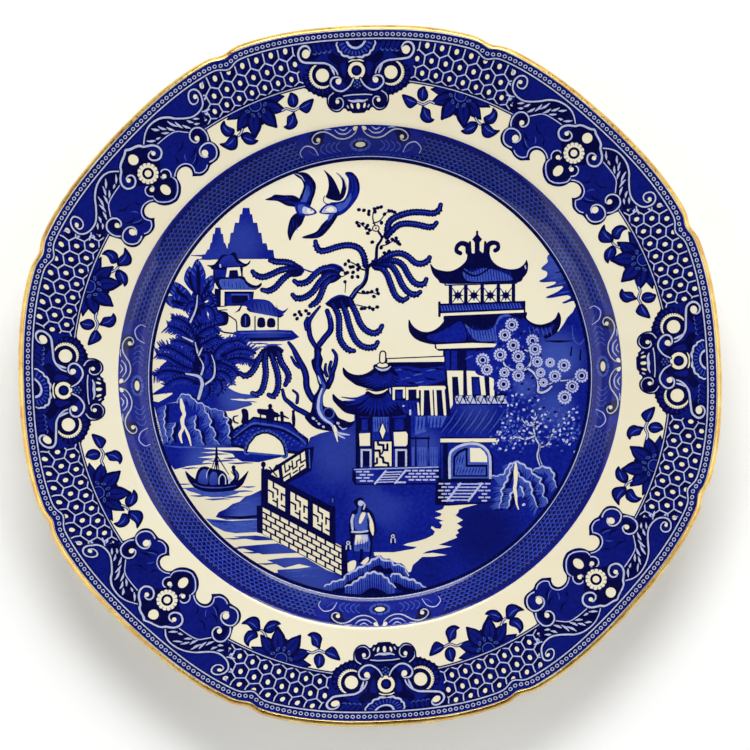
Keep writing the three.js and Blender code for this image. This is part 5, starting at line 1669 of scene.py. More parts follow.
def draw_back_fence(p):
    p.fill(DEEP, [
        (-33.2, -31.6), (-24.4, -26), (-20.6, -25.4), (-21.6, -34), (-31.4, -39.4), (-38.6, -36.4),
        (-38.6, -33.6)])
    corners = ((-32.2, -32.3), (-24, -27), (-23.5, -32.8), (-31.5, -38))

    def at(u, v):
        a, b, c, d = corners
        return tuple((a[k] * (1 - u) + b[k] * u) * (1 - v) + (d[k] * (1 - u) + c[k] * u) * v for k in (0, 1))
    p.fill(BARE, list(corners))
    for fret in (
            [(0.12, 0), (0.12, 0.5), (0.3, 0.5), (0.3, 0.25)], [(0, 0.75), (0.3, 0.75), (0.3, 1)],
            [(0.44, 0.1), (0.44, 0.6), (0.62, 0.6), (0.62, 0.3), (0.8, 0.3)], [(0.44, 0.85), (0.62, 0.85)],
            [(0.8, 0), (0.8, 0.55), (1, 0.55)], [(0.72, 1), (0.72, 0.78), (0.9, 0.78)],
            [(0.3, 0.4), (0.44, 0.4)]):
        p.bar(DEEP, 0.55, [at(u, v) for u, v in fret])
    p.fill(BARE, [(-37.8, -33.4), (-34.4, -31.8), (-35.2, -34)])
    p.fill(BARE, [(-37, -35.6), (-33.4, -33.6), (-33, -36.4), (-35.2, -36.4)])
    p.bar(DEEP, 0.4, [(-36.6, -34.8), (-33.6, -33)])
    p.bar(LIGHT, 0.4, [(-22.4, -26.6), (-22.2, -33)])


def draw_fence(p):
    p.fill(BLUE, [(-34, -36.6), (-21, -33), (-11, -42), (-12.6, -47.6), (-16, -46.4), (-37, -35.6)])
    draw_back_fence(p)
    p.fill(DEEP, [
        (-39.6, -33.2), (-37.4, -33.6), (-37.4, -34.6), (-13, -47.4), (-12.9, -60.6), (-10.2, -61.7),
        (-10.2, -64), (-39.6, -48)])
    p.fill(DEEP, [(-41.2, -46.6), (-38.8, -46.2), (-38.8, -56.6), (-41, -56.2)])
    for x0, x1 in ((-37.2, -30.9), (-29.2, -22.8), (-21.1, -15)):
        draw_fret_panel(p, x0, x1, -36.9, 8.6)
    draw_bricks(p)
    p.fill(DEEP, [(-15, -46.4), (-13.1, -46.8), (-12.9, -60), (-14.8, -59.2)])
    p.edged_dot(-14, -44.7, 0.4, 1, 0, LIGHT, 0.4)
    p.fill(DEEP, [(-10.9, -60.4), (-8.7, -61.2), (-8.6, -70.6), (-10.8, -72.4)])
    p.dot(DEEP, -38.8, -31.8, 0.9, 1.1)
    p.bar(DEEP, 0.8, [(-38.8, -32), (-38.8, -34.6)])
    p.bar(DEEP, 0.5, [(-36.6, -32.8), (-34, -36)])
    p.bar(DEEP, 0.5, [(-34, -32), (-36.8, -36)])


def draw_walker(p):
    """A plain standing figure in a robe, seen from behind."""
    p.blob(DEEP, [
        (-6.4, -45), (-3.6, -43.6), (-1.8, -47), (0.8, -50), (1.8, -56), (0.4, -58), (0, -63), (-1.4, -67),
        (-4.4, -67), (-7, -62), (-8.2, -54), (-7.2, -49), (-5.4, -47.6)])
    p.fill(BLUE, [(-6.4, -58), (-0.6, -58), (-0.8, -64), (-1.8, -66), (-6, -66)])
    p.edged_dot(-4, -45.7, 0.95, 1.05, 10, PALE, 0.35)
    p.line(PALE, [0.3, 0.6, 0.5], [(-3.2, -45), (-2.5, -46.4), (-2.9, -47.8)])
    p.bar(LIGHT, [0.9, 1.1], [(-4.2, -47), (-4.6, -49.4)])
    p.blob(LIGHT, [
        (-5.8, -49.8), (-3.4, -48.8), (-1.2, -49.4), (-0.7, -52), (-1.6, -55.2), (-5.6, -55.2), (-6.2, -52)])
    p.blob(BARE, [(-3.4, -49), (-2.2, -49.2), (-2.8, -51.2), (-4, -53), (-4.6, -52.6), (-4.2, -50.4)])
    p.line(PALE, [0.9, 1, 0.7], [(-6.6, -50), (-7.1, -52), (-6.8, -55.2)])
    p.line(BARE, [0.6, 0.8, 1.5, 1.4, 0.5], [(-1.2, -49.4), (-0.3, -51.6), (0, -54), (0.4, -57)])
    p.line(DEEP, [0.3, 0.7, 0.3], [(-1.6, -51), (-1.2, -53), (-1.4, -55)])
    p.line(PALE, 0.7, [(-7, -55.9), (-4, -56), (-1.5, -55.6)])
    p.fill(LIGHT, [(-5.9, -57), (-1.2, -56.8), (-0.5, -60), (-0.8, -63), (-6.3, -62.8), (-6.4, -60)])
    p.fill(PALE, [(-5.8, -57), (-1.5, -56.9), (-1.2, -59), (-2.6, -60), (-6.1, -60.6)])
    p.fill(BARE, [(-5.7, -57.1), (-3.6, -57), (-3.9, -59.4), (-6, -60)])
    draw_strokes(p, BLUE, 0.35, [(-5 + 0.9 * k, -58.6) for k in range(5)], (-0.1, -4))
    p.blob(BARE, [(-3.8, -66.8), (-1.4, -64.9), (-1, -65.8), (-2.2, -67.4), (-3.6, -67.4)])
    p.bar(DEEP, [1.3, 0.9], [(-3.6, -62.6), (-3.8, -66.4)])
    for x, y in ((7.6, -58.2), (-8.4, -60.6)):
        p.dot(DEEP, x, y, 1.3, 2.1)
        p.ring(PALE, x, y + 0.7, 0.55, 0.4)
        p.bar(PALE, 0.45, [(x - 0.6, y - 0.2), (x - 0.7, y - 1.5)])
        p.bar(PALE, 0.45, [(x + 0.7, y - 0.2), (x + 0.8, y - 1.5)])


def draw_ring(p):
    p.shapes.append((ribbon(oval(0, 0, SCENE_R - 0.15, count=240), 0.3, True), DEEP))


def draw_scene():
    """The whole landscape, laid a little off centre and clipped by the ring."""
    p = Print()
    draw_left_half(p)
    draw_lawn(p)
    draw_hill(p)
    draw_path(p)
    draw_great_pagoda(p)
    draw_small_leaf_tree(p)
    draw_round_blossom_tree(p)
    draw_right_rocks(p)
    draw_bottom_rocks(p)
    draw_front_pavilion(p)
    draw_willow_branches(p)
    draw_willow_trunk(p)
    draw_willow_foot(p)
    draw_fronds(p)
    draw_blossoms(p)
    draw_left_bird(p)
    draw_right_bird(p)
    draw_fence(p)
    draw_walker(p)
    p.shapes = [(outline * SCENE_SCALE + SCENE_SHIFT, tone) for outline, tone in p.shapes]
    draw_ring(p)
    return p


# ---------------------------------------------------------------------------
# Materials. The china and the four inks lie under one clear glaze, so they share
# its gloss and its faint ripple. The foot and the gilding have no glaze over them.
# ---------------------------------------------------------------------------
def linear(red, green, blue):
    """A colour written as 0 to 255, as the renderer wants it."""
    def one(c):
        c /= 255
        return c / 12.92 if c <= 0.04045 else ((c + 0.055) / 1.055) ** 2.4
    return (one(red), one(green), one(blue), 1.0)


CREAM = linear(226, 220, 195)
CREAM_WARM = linear(222, 212, 183)
CREAM_COOL = linear(223, 221, 203)
CLAY = linear(214, 196, 162)
CLAY_STAIN = linear(168, 142, 108)
INKS = {
    DEEP: (linear(2, 2, 34), linear(9, 12, 74)),
    BLUE: (linear(4, 11, 98), linear(20, 35, 148)),
    LIGHT: (linear(36, 56, 146), linear(70, 92, 176)),
    PALE: (linear(146, 154, 200), linear(190, 194, 216)),
}
GOLD_BRIGHT = linear(246, 212, 128)
GOLD_DARK = linear(218, 170, 94)


class Nodes:
    """A material's node tree, with short calls for the nodes used here."""

    def __init__(self, name):
        self.material = bpy.data.materials.new(name)
        self.material.use_nodes = True
        self.tree = self.material.node_tree
        self.shader = self.tree.nodes["Principled BSDF"]
        coordinates = self.tree.nodes.new("ShaderNodeTexCoord")
        self.place = coordinates.outputs["Object"]

    def set(self, **values):
        for name, value in values.items():
            self.shader.inputs[name.replace("_", " ")].default_value = value

    def link(self, output, name):
        self.tree.links.new(output, self.shader.inputs[name])

    def noise(self, scale, detail=3.0, roughness=0.55, distortion=0.0):
        node = self.tree.nodes.new("ShaderNodeTexNoise")
        node.inputs["Scale"].default_value = scale
        node.inputs["Detail"].default_value = detail
        node.inputs["Roughness"].default_value = roughness
        node.inputs["Distortion"].default_value = distortion
        self.tree.links.new(self.place, node.inputs["Vector"])
        return node.outputs["Fac"]

    def cells(self, scale):
        node = self.tree.nodes.new("ShaderNodeTexVoronoi")
        node.inputs["Scale"].default_value = scale
        node.inputs["Randomness"].default_value = 1.0
        self.tree.links.new(self.place, node.inputs["Vector"])
        return node.outputs["Distance"]

    def ramp(self, factor, stops):
        """stops: (place, colour), or (place, number)."""
        node = self.tree.nodes.new("ShaderNodeValToRGB")
        ramp = node.color_ramp
        while len(ramp.elements) < len(stops):
            ramp.elements.new(0.5)
        for element, (place, colour) in zip(ramp.elements, stops):
            element.position = place
            element.color = colour if isinstance(colour, tuple) else (colour, colour, colour, 1)
        self.tree.links.new(factor, node.inputs["Fac"])
        return node.outputs["Color"]

    def mix(self, factor, a, b, blend="MIX"):
        node = self.tree.nodes.new("ShaderNodeMix")
        node.data_type = "RGBA"
        node.blend_type = blend
        for socket, value in ((node.inputs[0], factor), (node.inputs[6], a), (node.inputs[7], b)):
            if isinstance(value, (float, int, tuple)):
                socket.default_value = value
            else:
                self.tree.links.new(value, socket)
        return node.outputs[2]

    def number(self, value, low, high, to_low, to_high):
        node = self.tree.nodes.new("ShaderNodeMapRange")
        self.tree.links.new(value, node.inputs["Value"])
        for name, number in (("From Min", low), ("From Max", high), ("To Min", to_low), ("To Max", to_high)):
            node.inputs[name].default_value = number
        return node.outputs["Result"]

    def sum(self, a, b):
        node = self.tree.nodes.new("ShaderNodeMath")
        self.tree.links.new(a, node.inputs[0])
        self.tree.links.new(b, node.inputs[1])
        return node.outputs["Value"]

    def bump(self, heights):
        """heights: (value, distance in metres) for each layer, coarse first."""
        normal = None
        for value, distance in heights:
            node = self.tree.nodes.new("ShaderNodeBump")
            node.inputs["Strength"].default_value = 1.0
            node.inputs["Distance"].default_value = distance
            self.tree.links.new(value, node.inputs["Height"])
            if normal is not None:
                self.tree.links.new(normal, node.inputs["Normal"])
            normal = node.outputs["Normal"]
        return normal


def add_glaze(nodes):
    """The clear glaze over the china and the inks: high gloss and a faint ripple."""
    nodes.set(IOR=1.5, Specular_IOR_Level=0.3)
    nodes.link(nodes.number(nodes.noise(60, 4), 0.3, 0.7, 0.07, 0.16), "Roughness")
    ripple = nodes.bump([(nodes.noise(55, 2, 0.4), 0.00035), (nodes.noise(420, 2), 0.00002)])
    nodes.link(ripple, "Normal")


def make_china():
    """Cream earthenware seen through the glaze: warmer clouds and sparse iron specks."""
    nodes = Nodes("glazed_cream_earthenware")
    clouds = nodes.mix(nodes.ramp(nodes.noise(9, 4, 0.6), [(0.35, 0.0), (0.65, 1.0)]), CREAM, CREAM_WARM)
    cool = nodes.mix(nodes.ramp(nodes.noise(38, 3), [(0.5, 0.0), (0.75, 0.6)]), clouds, CREAM_COOL)
    specks = nodes.ramp(nodes.cells(330), [(0.0, 1.0), (0.045, 0.75), (0.07, 0.0)])
    rare = nodes.ramp(nodes.noise(120, 1), [(0.62, 0.0), (0.7, 0.8)])
    speckled = nodes.mix(nodes.mix(1.0, specks, rare, "MULTIPLY"), cool, CLAY_STAIN)
    nodes.link(speckled, "Base Color")
    add_glaze(nodes)
    return nodes.material


# Where the engraver's stipple makes the middle blue lighter (or darker, below zero):
# the middle of the area and its radius, all in millimetres, and how strong it is.
STIPPLE_SPOTS = [
    (-45, 51, 12, 0.25), (-56, 46, 7, 0.15), (-60, -29, 12, 0.55), (-46, -47, 10, 0.5), (-50, -54, 9, 0.5),
    (-34, -62, 13, 0.4), (-24, -72, 14, 0.4), (-48, -6, 10, 0.5), (-12, -27, 17, 0.28), (2, -46, 15, 0.2),
    (68, 4, 13, 0.55), (66, -14, 10, 0.4), (70, 38, 10, 0.5), (56, -6, 6, 0.5), (19, -26, 8, 0.35),
    (-38, 24, 7, 0.3), (-37, 15, 9, 0.25), (38, -16, 9, 0.25), (38, -58, 20, -0.7), (18, -71, 12, -0.4),
    (8, -37, 10, -0.3), (-4, -58, 9, -0.3)]
# The same for the whole rim, where the middle blue is printed darker.
RIM_INKING = -0.5


def add_stipple(nodes, plain, lighter, darker):
    """Blends the plain ink towards a lighter and a darker one by the engraver's spots."""
    middle = nodes.tree.nodes.new("ShaderNodeVectorMath")
    middle.operation = "LENGTH"
    nodes.tree.links.new(nodes.place, middle.inputs[0])
    total = nodes.number(middle.outputs["Value"], 92 * METRE, 96 * METRE, 0, RIM_INKING)
    for x, y, radius, strength in STIPPLE_SPOTS:
        away = nodes.tree.nodes.new("ShaderNodeVectorMath")
        away.operation = "DISTANCE"
        away.inputs[1].default_value = (x * METRE, y * METRE, (WELL_Z + GLAZE_OUT) * METRE)
        nodes.tree.links.new(nodes.place, away.inputs[0])
        near = nodes.number(away.outputs["Value"], 0.2 * radius * METRE, radius * METRE, strength, 0)
        near.node.interpolation_type = "SMOOTHSTEP"
        total = nodes.sum(total, near)
    light = nodes.mix(nodes.number(total, 0, 1, 0, 1), plain, lighter)
    return nodes.mix(nodes.number(total, -1, 0, 1, 0), light, darker)


def make_ink(tone):
    """Cobalt ink under the glaze: uneven inking, the grain of the engraved plate and its paper."""
    nodes = Nodes(f"cobalt_ink_{TONE_NAMES[tone]}")
    thick, thin = INKS[tone]
    inking = nodes.ramp(nodes.noise(70, 4, 0.6, 0.4), [(0.3, 0.0), (0.72, 1.0)])
    grain = nodes.ramp(nodes.cells(2200), [(0.12, 0.0), (0.7, 1.0)])
    mottle = nodes.ramp(nodes.noise(760, 3, 0.6), [(0.34, 0.0), (0.66, 1.0)])
    share = nodes.mix(0.5, nodes.mix(0.35, inking, grain), mottle)
    colour = nodes.mix(share, thick, thin)
    if tone == BLUE:
        colour = add_stipple(nodes, colour, INKS[LIGHT][1], INKS[DEEP][1])
    nodes.link(colour, "Base Color")
    add_glaze(nodes)
    return nodes.material


def make_clay():
    """The bare foot: fine dry clay, rubbed darker where it stands."""
    nodes = Nodes("bare_clay_foot")
    rubbed = nodes.ramp(nodes.noise(240, 5, 0.65), [(0.42, 0.0), (0.7, 0.8)])
    nodes.link(nodes.mix(rubbed, CLAY, CLAY_STAIN), "Base Color")
    nodes.link(nodes.number(nodes.noise(500, 4), 0.3, 0.7, 0.7, 0.95), "Roughness")
    nodes.link(nodes.bump([(nodes.noise(1800, 4), 0.00006)]), "Normal")
    return nodes.material


def make_gilding():
    """Brushed gold on the edge, thin and browner where hands have worn it."""
    nodes = Nodes("worn_gilding")
    wear = nodes.ramp(nodes.noise(95, 5, 0.65), [(0.4, 0.0), (0.62, 1.0)])
    nodes.link(nodes.mix(wear, GOLD_BRIGHT, GOLD_DARK), "Base Color")
    nodes.set(Metallic=1.0)
    nodes.link(nodes.number(nodes.noise(600, 4), 0.3, 0.7, 0.2, 0.42), "Roughness")
    nodes.link(nodes.bump([(nodes.noise(900, 3), 0.00004)]), "Normal")
    return nodes.material


# ---------------------------------------------------------------------------
# The plate's form, the same as in the CAD model: face, wall, rim and edge.
# ---------------------------------------------------------------------------
WELL_R, WELL_Z = 79, 6
SHOULDER_R, SHOULDER_Z = 92.5, 15.4
RIM_SLOPE, RIM_CURVE = 0.22, 0.0006
LIP_START_R, LIP_RADIUS = 123.6, 1.7
BACK_WALL_R, BACK_WALL_Z, BACK_WALL_FOOT_SLOPE = (79.4, 98), (2.7, 12), 0.1
FOOT_OUTER, FOOT_FLAT_R, FOOT_INNER, FOOT_HOLLOW = (76.6, 2), (72.6, 75.4), (71.6, 1.4), (70, 2.2)
LOBES = 8
WAVE_START_R = 106
GLAZE_OUT = 0.44
INK_LIFT = 0.045
SEGMENTS = 768
METRE = 0.001


def wall(r, radii, heights, slopes):
    """A cubic from one radius and height to the next, with the slope given at each end."""
    span = radii[1] - radii[0]
    t = (r - radii[0]) / span
    ease = t * t * (3 - 2 * t)
    return (heights[0] + (heights[1] - heights[0]) * ease
            + span * t * (1 - t) * (slopes[0] * (1 - t) - slopes[1] * t))


def face_height(r):
    """Height of the body's face at a radius, before the edge is moulded."""
    r = np.asarray(r, float)
    rise = wall(np.clip(r, WELL_R, SHOULDER_R), (WELL_R, SHOULDER_R), (WELL_Z, SHOULDER_Z), (0, RIM_SLOPE))
    out = np.maximum(r - SHOULDER_R, 0)
    return rise + RIM_SLOPE * out + RIM_CURVE * out ** 2


def face_slope(r):
    return (face_height(np.asarray(r) + 0.01) - face_height(np.asarray(r) - 0.01)) / 0.02


def edge_wave(angle):
    """The moulded edge: eight gentle corners, each with a small notch."""
    turn = 2 * math.pi / LOBES
    from_corner = angle - (np.floor(angle / turn) + 0.5) * turn
    corner = (1 + np.cos(2 * math.pi * from_corner / turn)) / 2
    notch = np.exp(-((from_corner / math.radians(1.6)) ** 2))
    return CORNER_RISE * corner - NOTCH_DEPTH * notch


def wave_share(r):
    """How much of the edge's wave reaches this radius: none in the well, all of it at the lip."""
    t = np.clip((r - WAVE_START_R) / (LIP_START_R - WAVE_START_R), 0, 1)
    return t * t * (3 - 2 * t)


def glazed_height(x, y, lift=0.0):
    """Height of the glazed face over a point, with something that stands a little over it."""
    r = np.hypot(x, y)
    wave = edge_wave(np.arctan2(y, x))
    plain = r - wave_share(r) * wave
    for _ in range(6):
        plain = r - wave_share(plain) * wave
    return face_height(plain) + (GLAZE_OUT + lift) * np.hypot(1, face_slope(plain))


def face_normals(x, y):
    step = 0.02
    dx = (glazed_height(x + step, y) - glazed_height(x - step, y)) / (2 * step)
    dy = (glazed_height(x, y + step) - glazed_height(x, y - step)) / (2 * step)
    n = np.stack([-dx, -dy, np.ones_like(dx)], axis=1)
    return n / np.linalg.norm(n, axis=1)[:, None]


def lip_frame():
    """Where the round lip starts: its slope and the centre of its half circle."""
    tilt = math.atan(RIM_SLOPE + 2 * RIM_CURVE * (LIP_START_R - SHOULDER_R))
    start = float(face_height(LIP_START_R))
    return tilt, (LIP_START_R + LIP_RADIUS * math.sin(tilt), start - LIP_RADIUS * math.cos(tilt))


def body_profile():
    """Half of the body's outline, from the middle of the face out to the lip and back under it."""
    face = [(r, float(face_height(r))) for r in
            [0, 20, 40, 60, 70, 76, *np.arange(78, 94, 0.5), *np.arange(94, LIP_START_R, 1.6), LIP_START_R]]
    tilt, centre = lip_frame()
    lip = [(centre[0] + LIP_RADIUS * math.cos(a + tilt), centre[1] + LIP_RADIUS * math.sin(a + tilt))
           for a in np.linspace(math.pi / 2, -math.pi / 2, 15)[1:]]
    slope = (lip[-1][1] - BACK_WALL_Z[1]) / (lip[-1][0] - BACK_WALL_R[1])
    back = [(r, BACK_WALL_Z[1] + slope * (r - BACK_WALL_R[1])) for r in (120, 115, 110, 105, 101)]
    back += [(r, wall(r, BACK_WALL_R, BACK_WALL_Z, (BACK_WALL_FOOT_SLOPE, slope)))
             for r in np.linspace(BACK_WALL_R[1], BACK_WALL_R[0], 16)]
    foot = [(78.0, 2.5), (77.2, 2.35), FOOT_OUTER]
    hollow = [FOOT_INNER, (71.2, 1.8), (70.7, 2.08), FOOT_HOLLOW, (60, 2.2), (40, 2.2), (20, 2.2), (0, 2.2)]
    return face, lip, back, foot, hollow


def moved_out(points, distance):
    """The run of points moved out along its own normals; the body is on its right."""
    p = np.array(points, float)
    along = np.vstack([p[1] - p[0], p[2:] - p[:-2], p[-1] - p[-2]])
    along /= np.linalg.norm(along, axis=1)[:, None]
    out = np.stack([-along[:, 1], along[:, 0]], axis=1) * distance
    out[p[:, 0] == 0, 0] = 0
    return p + out


def new_object(name, points, faces, material, normals=None, smooth=True):
    """A mesh object in metres from points in millimetres."""
    mesh = bpy.data.meshes.new(name)
    mesh.from_pydata((np.asarray(points) * METRE).tolist(), [], faces)
    mesh.update()
    mesh.polygons.foreach_set("use_smooth", [smooth] * len(mesh.polygons))
    if normals is not None:
        mesh.normals_split_custom_set_from_vertices(normals.tolist())
    obj = bpy.data.objects.new(name, mesh)
    obj.data.materials.append(material)
    bpy.context.collection.objects.link(obj)
    return obj


def turned_mesh(profile):
    """Points and faces of a profile turned about Z. Its ends lie on the axis."""
    segments = SEGMENTS
    angles = np.arange(segments) * 2 * math.pi / segments
    rings = profile[1:-1]
    wave = edge_wave(angles)
    points = [(0, 0, profile[0][1])]
    for r, z in rings:
        radius = r + wave_share(r) * wave
        points += list(zip(radius * np.cos(angles), radius * np.sin(angles), np.full(segments, z)))
    points.append((0, 0, profile[-1][1]))
    faces = []
    last = len(points) - 1
    for i in range(segments):
        j = (i + 1) % segments
        faces.append((0, 1 + i, 1 + j))
        base = 1 + (len(rings) - 1) * segments
        faces.append((last, base + j, base + i))
    for k in range(len(rings) - 1):
        a, b = 1 + k * segments, 1 + (k + 1) * segments
        for i in range(segments):
            j = (i + 1) % segments
            faces.append((a + i, b + i, b + j, a + j))
    return points, faces


# ---------------------------------------------------------------------------
# From a flat print to ink on the plate.
# ---------------------------------------------------------------------------
def inside(px, py, outline):
    """Which of the points lie inside the closed outline (by winding, so overlaps count once)."""
    turns = np.zeros(len(px), int)
    ax, ay = outline[:, 0], outline[:, 1]
    bx, by = np.roll(ax, -1), np.roll(ay, -1)
    for x0, y0, x1, y1 in zip(ax, ay, bx, by):
        if y0 == y1:
            continue
        side = (x1 - x0) * (py - y0) - (px - x0) * (y1 - y0)
        if y1 > y0:
            turns += (py >= y0) & (py < y1) & (side > 0)
        else:
            turns -= (py >= y1) & (py < y0) & (side < 0)
    return turns != 0


def trace(drawing, box, grid):
    """Cuts a drawing into triangles, each in the tone of the topmost shape there.

    box is the part that is kept (x0, x1, y0, y1). Points of a grid are added, so that
    the triangles can follow a curved surface."""
    x0, x1, y0, y1 = box
    points, edges = [], []

    def add(outline):
        runs = []
        for here, there in zip(outline, np.roll(outline, -1, axis=0)):
            parts = max(1, math.ceil(float(np.linalg.norm(there - here)) / grid))
            runs.append(here + (there - here) * np.arange(parts)[:, None] / parts)
        outline = np.vstack(runs)
        first = len(points)
        points.extend(outline.tolist())
        edges.extend((first + i, first + (i + 1) % len(outline)) for i in range(len(outline)))

    add(np.array([(x0, y0), (x1, y0), (x1, y1), (x0, y1)], float))
    for outline, _ in drawing.shapes:
        add(outline)
    for gx in np.linspace(x0, x1, max(2, round((x1 - x0) / grid) + 1)):
        for gy in np.linspace(y0, y1, max(2, round((y1 - y0) / grid) + 1)):
            points.append([gx, gy])
    out = delaunay_2d_cdt([Vector(p) for p in points], edges, [], 0, 1e-4, False)
    verts = np.array([v[:] for v in out[0]])
    tris = np.array(out[2])
    middle = verts[tris].mean(axis=1)
    keep = (middle[:, 0] > x0) & (middle[:, 0] < x1) & (middle[:, 1] > y0) & (middle[:, 1] < y1)
    tris, middle = tris[keep], middle[keep]
    order = np.argsort(middle[:, 0])
    tris, middle = tris[order], middle[order]
    tone = np.full(len(tris), BARE)
    for outline, ink in drawing.shapes:
        low, high = outline.min(axis=0), outline.max(axis=0)
        a, b = np.searchsorted(middle[:, 0], (low[0], high[0]))
        near = a + np.nonzero((middle[a:b, 1] >= low[1]) & (middle[a:b, 1] <= high[1]))[0]
        if len(near):
            hit = near[inside(middle[near, 0], middle[near, 1], outline)]
            tone[hit] = ink
    return verts, tris, tone


def ink_objects(name, patches, materials):
    """One thin film of ink for each tone. A patch is (x, y, triangles, tones) on the plate."""
    made = []
    for ink, tone_name in enumerate(TONE_NAMES):
        points, faces, normals = [], [], []
        for x, y, tris, tones in patches:
            mine = tris[tones == ink]
            if not len(mine):
                continue
            used, index = np.unique(mine, return_inverse=True)
            ux, uy = x[used], y[used]
            points.append(np.stack([ux, uy, glazed_height(ux, uy, INK_LIFT)], axis=1))
            normals.append(face_normals(ux, uy))
            faces.append(index.reshape(-1, 3) + sum(len(p) for p in points[:-1]))
        if not faces:
            continue
        obj = new_object(f"{name}_{tone_name}", np.vstack(points), np.vstack(faces).tolist(),
                         materials[ink], np.vstack(normals))
        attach(obj, "root")
        made.append(obj)
    return made


def around(verts, tris, tones, ruler, copies, turn=0.0, shift=(0.0, 0.0), steady_from=1000.0):
    """Mirrored and repeated copies of a unit drawn along the rim.

    turn and shift lay the whole transfer slightly askew, as hands do; outside the radius
    steady_from it stays in step with the rim.
    """
    share = np.clip((steady_from - verts[:, 1]) / 4, 0, 1)
    patches = []
    for k in range(copies):
        axis = k * 2 * math.pi / copies
        for mirror in (1, -1):
            angle = axis + mirror * verts[:, 0] / ruler + turn * share
            x = verts[:, 1] * np.cos(angle) + shift[0] * share
            y = verts[:, 1] * np.sin(angle) + shift[1] * share
            turned = tris[:, ::-1] if mirror == 1 else tris
            patches.append((x, y, turned, tones))
    return patches


# ---------------------------------------------------------------------------
# The pieces
# ---------------------------------------------------------------------------
SCENE_TURN = math.radians(-2.4)
# How the border's transfer lies askew: its turn, its shift, and where it is in step with the rim.
BORDER_ASKEW = (math.radians(0.36), (0.42, -0.62), 121.0)
# What is kept of each drawing, and the grid that lets its triangles follow the plate.
BORDER_BOX, BORDER_GRID = (0, BORDER_SPAN, 93, 126.5), 2.2
BAND_BOX, BAND_GRID = (0, BAND_SPAN, BAND_INNER_R, BAND_OUTER_R), 0.9
SCENE_BOX, SCENE_GRID = (-80, 80, -80, 80), 4
QUARTERS = 4


def make_plate(china, clay):
    """The fired body under its glaze, with the bare flat of the foot ring."""
    face, lip, back, foot, hollow = body_profile()
    outside = moved_out(face + lip + back + foot, GLAZE_OUT)
    for k, (r, _) in enumerate(face[:-1]):
        outside[k] = (r, float(face_height(r)) + GLAZE_OUT * math.hypot(1, float(face_slope(r))))
    outside[-1] = (FOOT_OUTER[0] + GLAZE_OUT, FOOT_OUTER[1])
    rim_of_foot = [(FOOT_FLAT_R[1] + 0.5, 0.5), (FOOT_FLAT_R[1], 0.12), (FOOT_FLAT_R[1] - 0.25, 0.0),
                   (FOOT_FLAT_R[0] + 0.25, 0.0), (FOOT_FLAT_R[0], 0.12)]
    inside_foot = moved_out(hollow, GLAZE_OUT)
    profile = [*outside.tolist(), *rim_of_foot, *inside_foot.tolist()]
    points, faces = turned_mesh(profile)
    plate = new_object("glazed_plate", points, faces, china)
    plate.data.materials.append(clay)
    standing_height, inside_foot_r = 0.0003, 0.07
    for polygon in plate.data.polygons:
        highest = max(plate.data.vertices[v].co.z for v in polygon.vertices)
        if highest < standing_height and math.hypot(polygon.center.x, polygon.center.y) > inside_foot_r:
            polygon.material_index = 1
    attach(plate, "root")
    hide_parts("plate_body", "glaze_coat", "foot_hollow_glaze")
    return plate


def make_prints(materials):
    """The three prints. The eighths of the border and the band are mirrored and laid round four times."""
    patches = around(*trace(draw_border(), BORDER_BOX, BORDER_GRID), RIM_RULER_R, QUARTERS, *BORDER_ASKEW)
    made = ink_objects("border_print", patches, materials)
    for obj in made:
        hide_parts("border_transfer")
    patches = around(*trace(draw_band(), BAND_BOX, BAND_GRID), BAND_RULER_R, QUARTERS)
    made = ink_objects("band_print", patches, materials)
    for obj in made:
        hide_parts("band_transfer")
    verts, tris, tones = trace(draw_scene(), SCENE_BOX, SCENE_GRID)
    middle = verts[tris].mean(axis=1)
    tones = np.where(np.hypot(middle[:, 0], middle[:, 1]) < SCENE_R, tones, BARE)
    c, s = math.cos(SCENE_TURN), math.sin(SCENE_TURN)
    x, y = verts[:, 0] * c - verts[:, 1] * s, verts[:, 0] * s + verts[:, 1] * c
    made = ink_objects("scene_print", [(x, y, tris, tones)], materials)
    for obj in made:
        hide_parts("scene_transfer")


def make_gilt_line(gold):
    """Gold brushed round the lip by hand, so its inner edge wanders a little."""
    tilt, centre = lip_frame()
    around_count, across = 1440, 12
    angles = np.arange(around_count) * 2 * math.pi / around_count
    wander = (0.10 * np.sin(5 * angles + 0.7) + 0.07 * np.sin(23 * angles + 2.1)
              + 0.05 * np.sin(61 * angles + 4.0) + 0.03 * np.sin(139 * angles))
    start = 1.05 + wander
    end = 4.1 + 0.25 * np.sin(7 * angles + 1.3) + 0.1 * np.sin(41 * angles)
    wave = edge_wave(angles)
    points = []
    for height in (GLAZE_OUT + 0.09, GLAZE_OUT - 0.05):
        reach = LIP_RADIUS + height
        for k in range(across + 1):
            along = start + (end - start) * k / across
            turn = math.pi / 2 + tilt - along / reach
            r, z = centre[0] + reach * np.cos(turn), centre[1] + reach * np.sin(turn)
            radius = r + wave
            points.append(np.stack([radius * np.cos(angles), radius * np.sin(angles), z], axis=1))
    rows = len(points)
    faces = []
    for k in range(rows):
        a, b = k * around_count, ((k + 1) % rows) * around_count
        if k == across:
            b = rows // 2 * around_count + across * around_count
        elif k > across:
            a, b = k * around_count, (k - 1) * around_count if k > across + 1 else 0
        for i in range(around_count):
            j = (i + 1) % around_count
            faces.append((a + i, b + i, b + j, a + j))
    line = new_object("gilt_edge_line", np.vstack(points), faces, gold)
    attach(line, "root")
    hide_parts("gilt_edge_line")
    return line


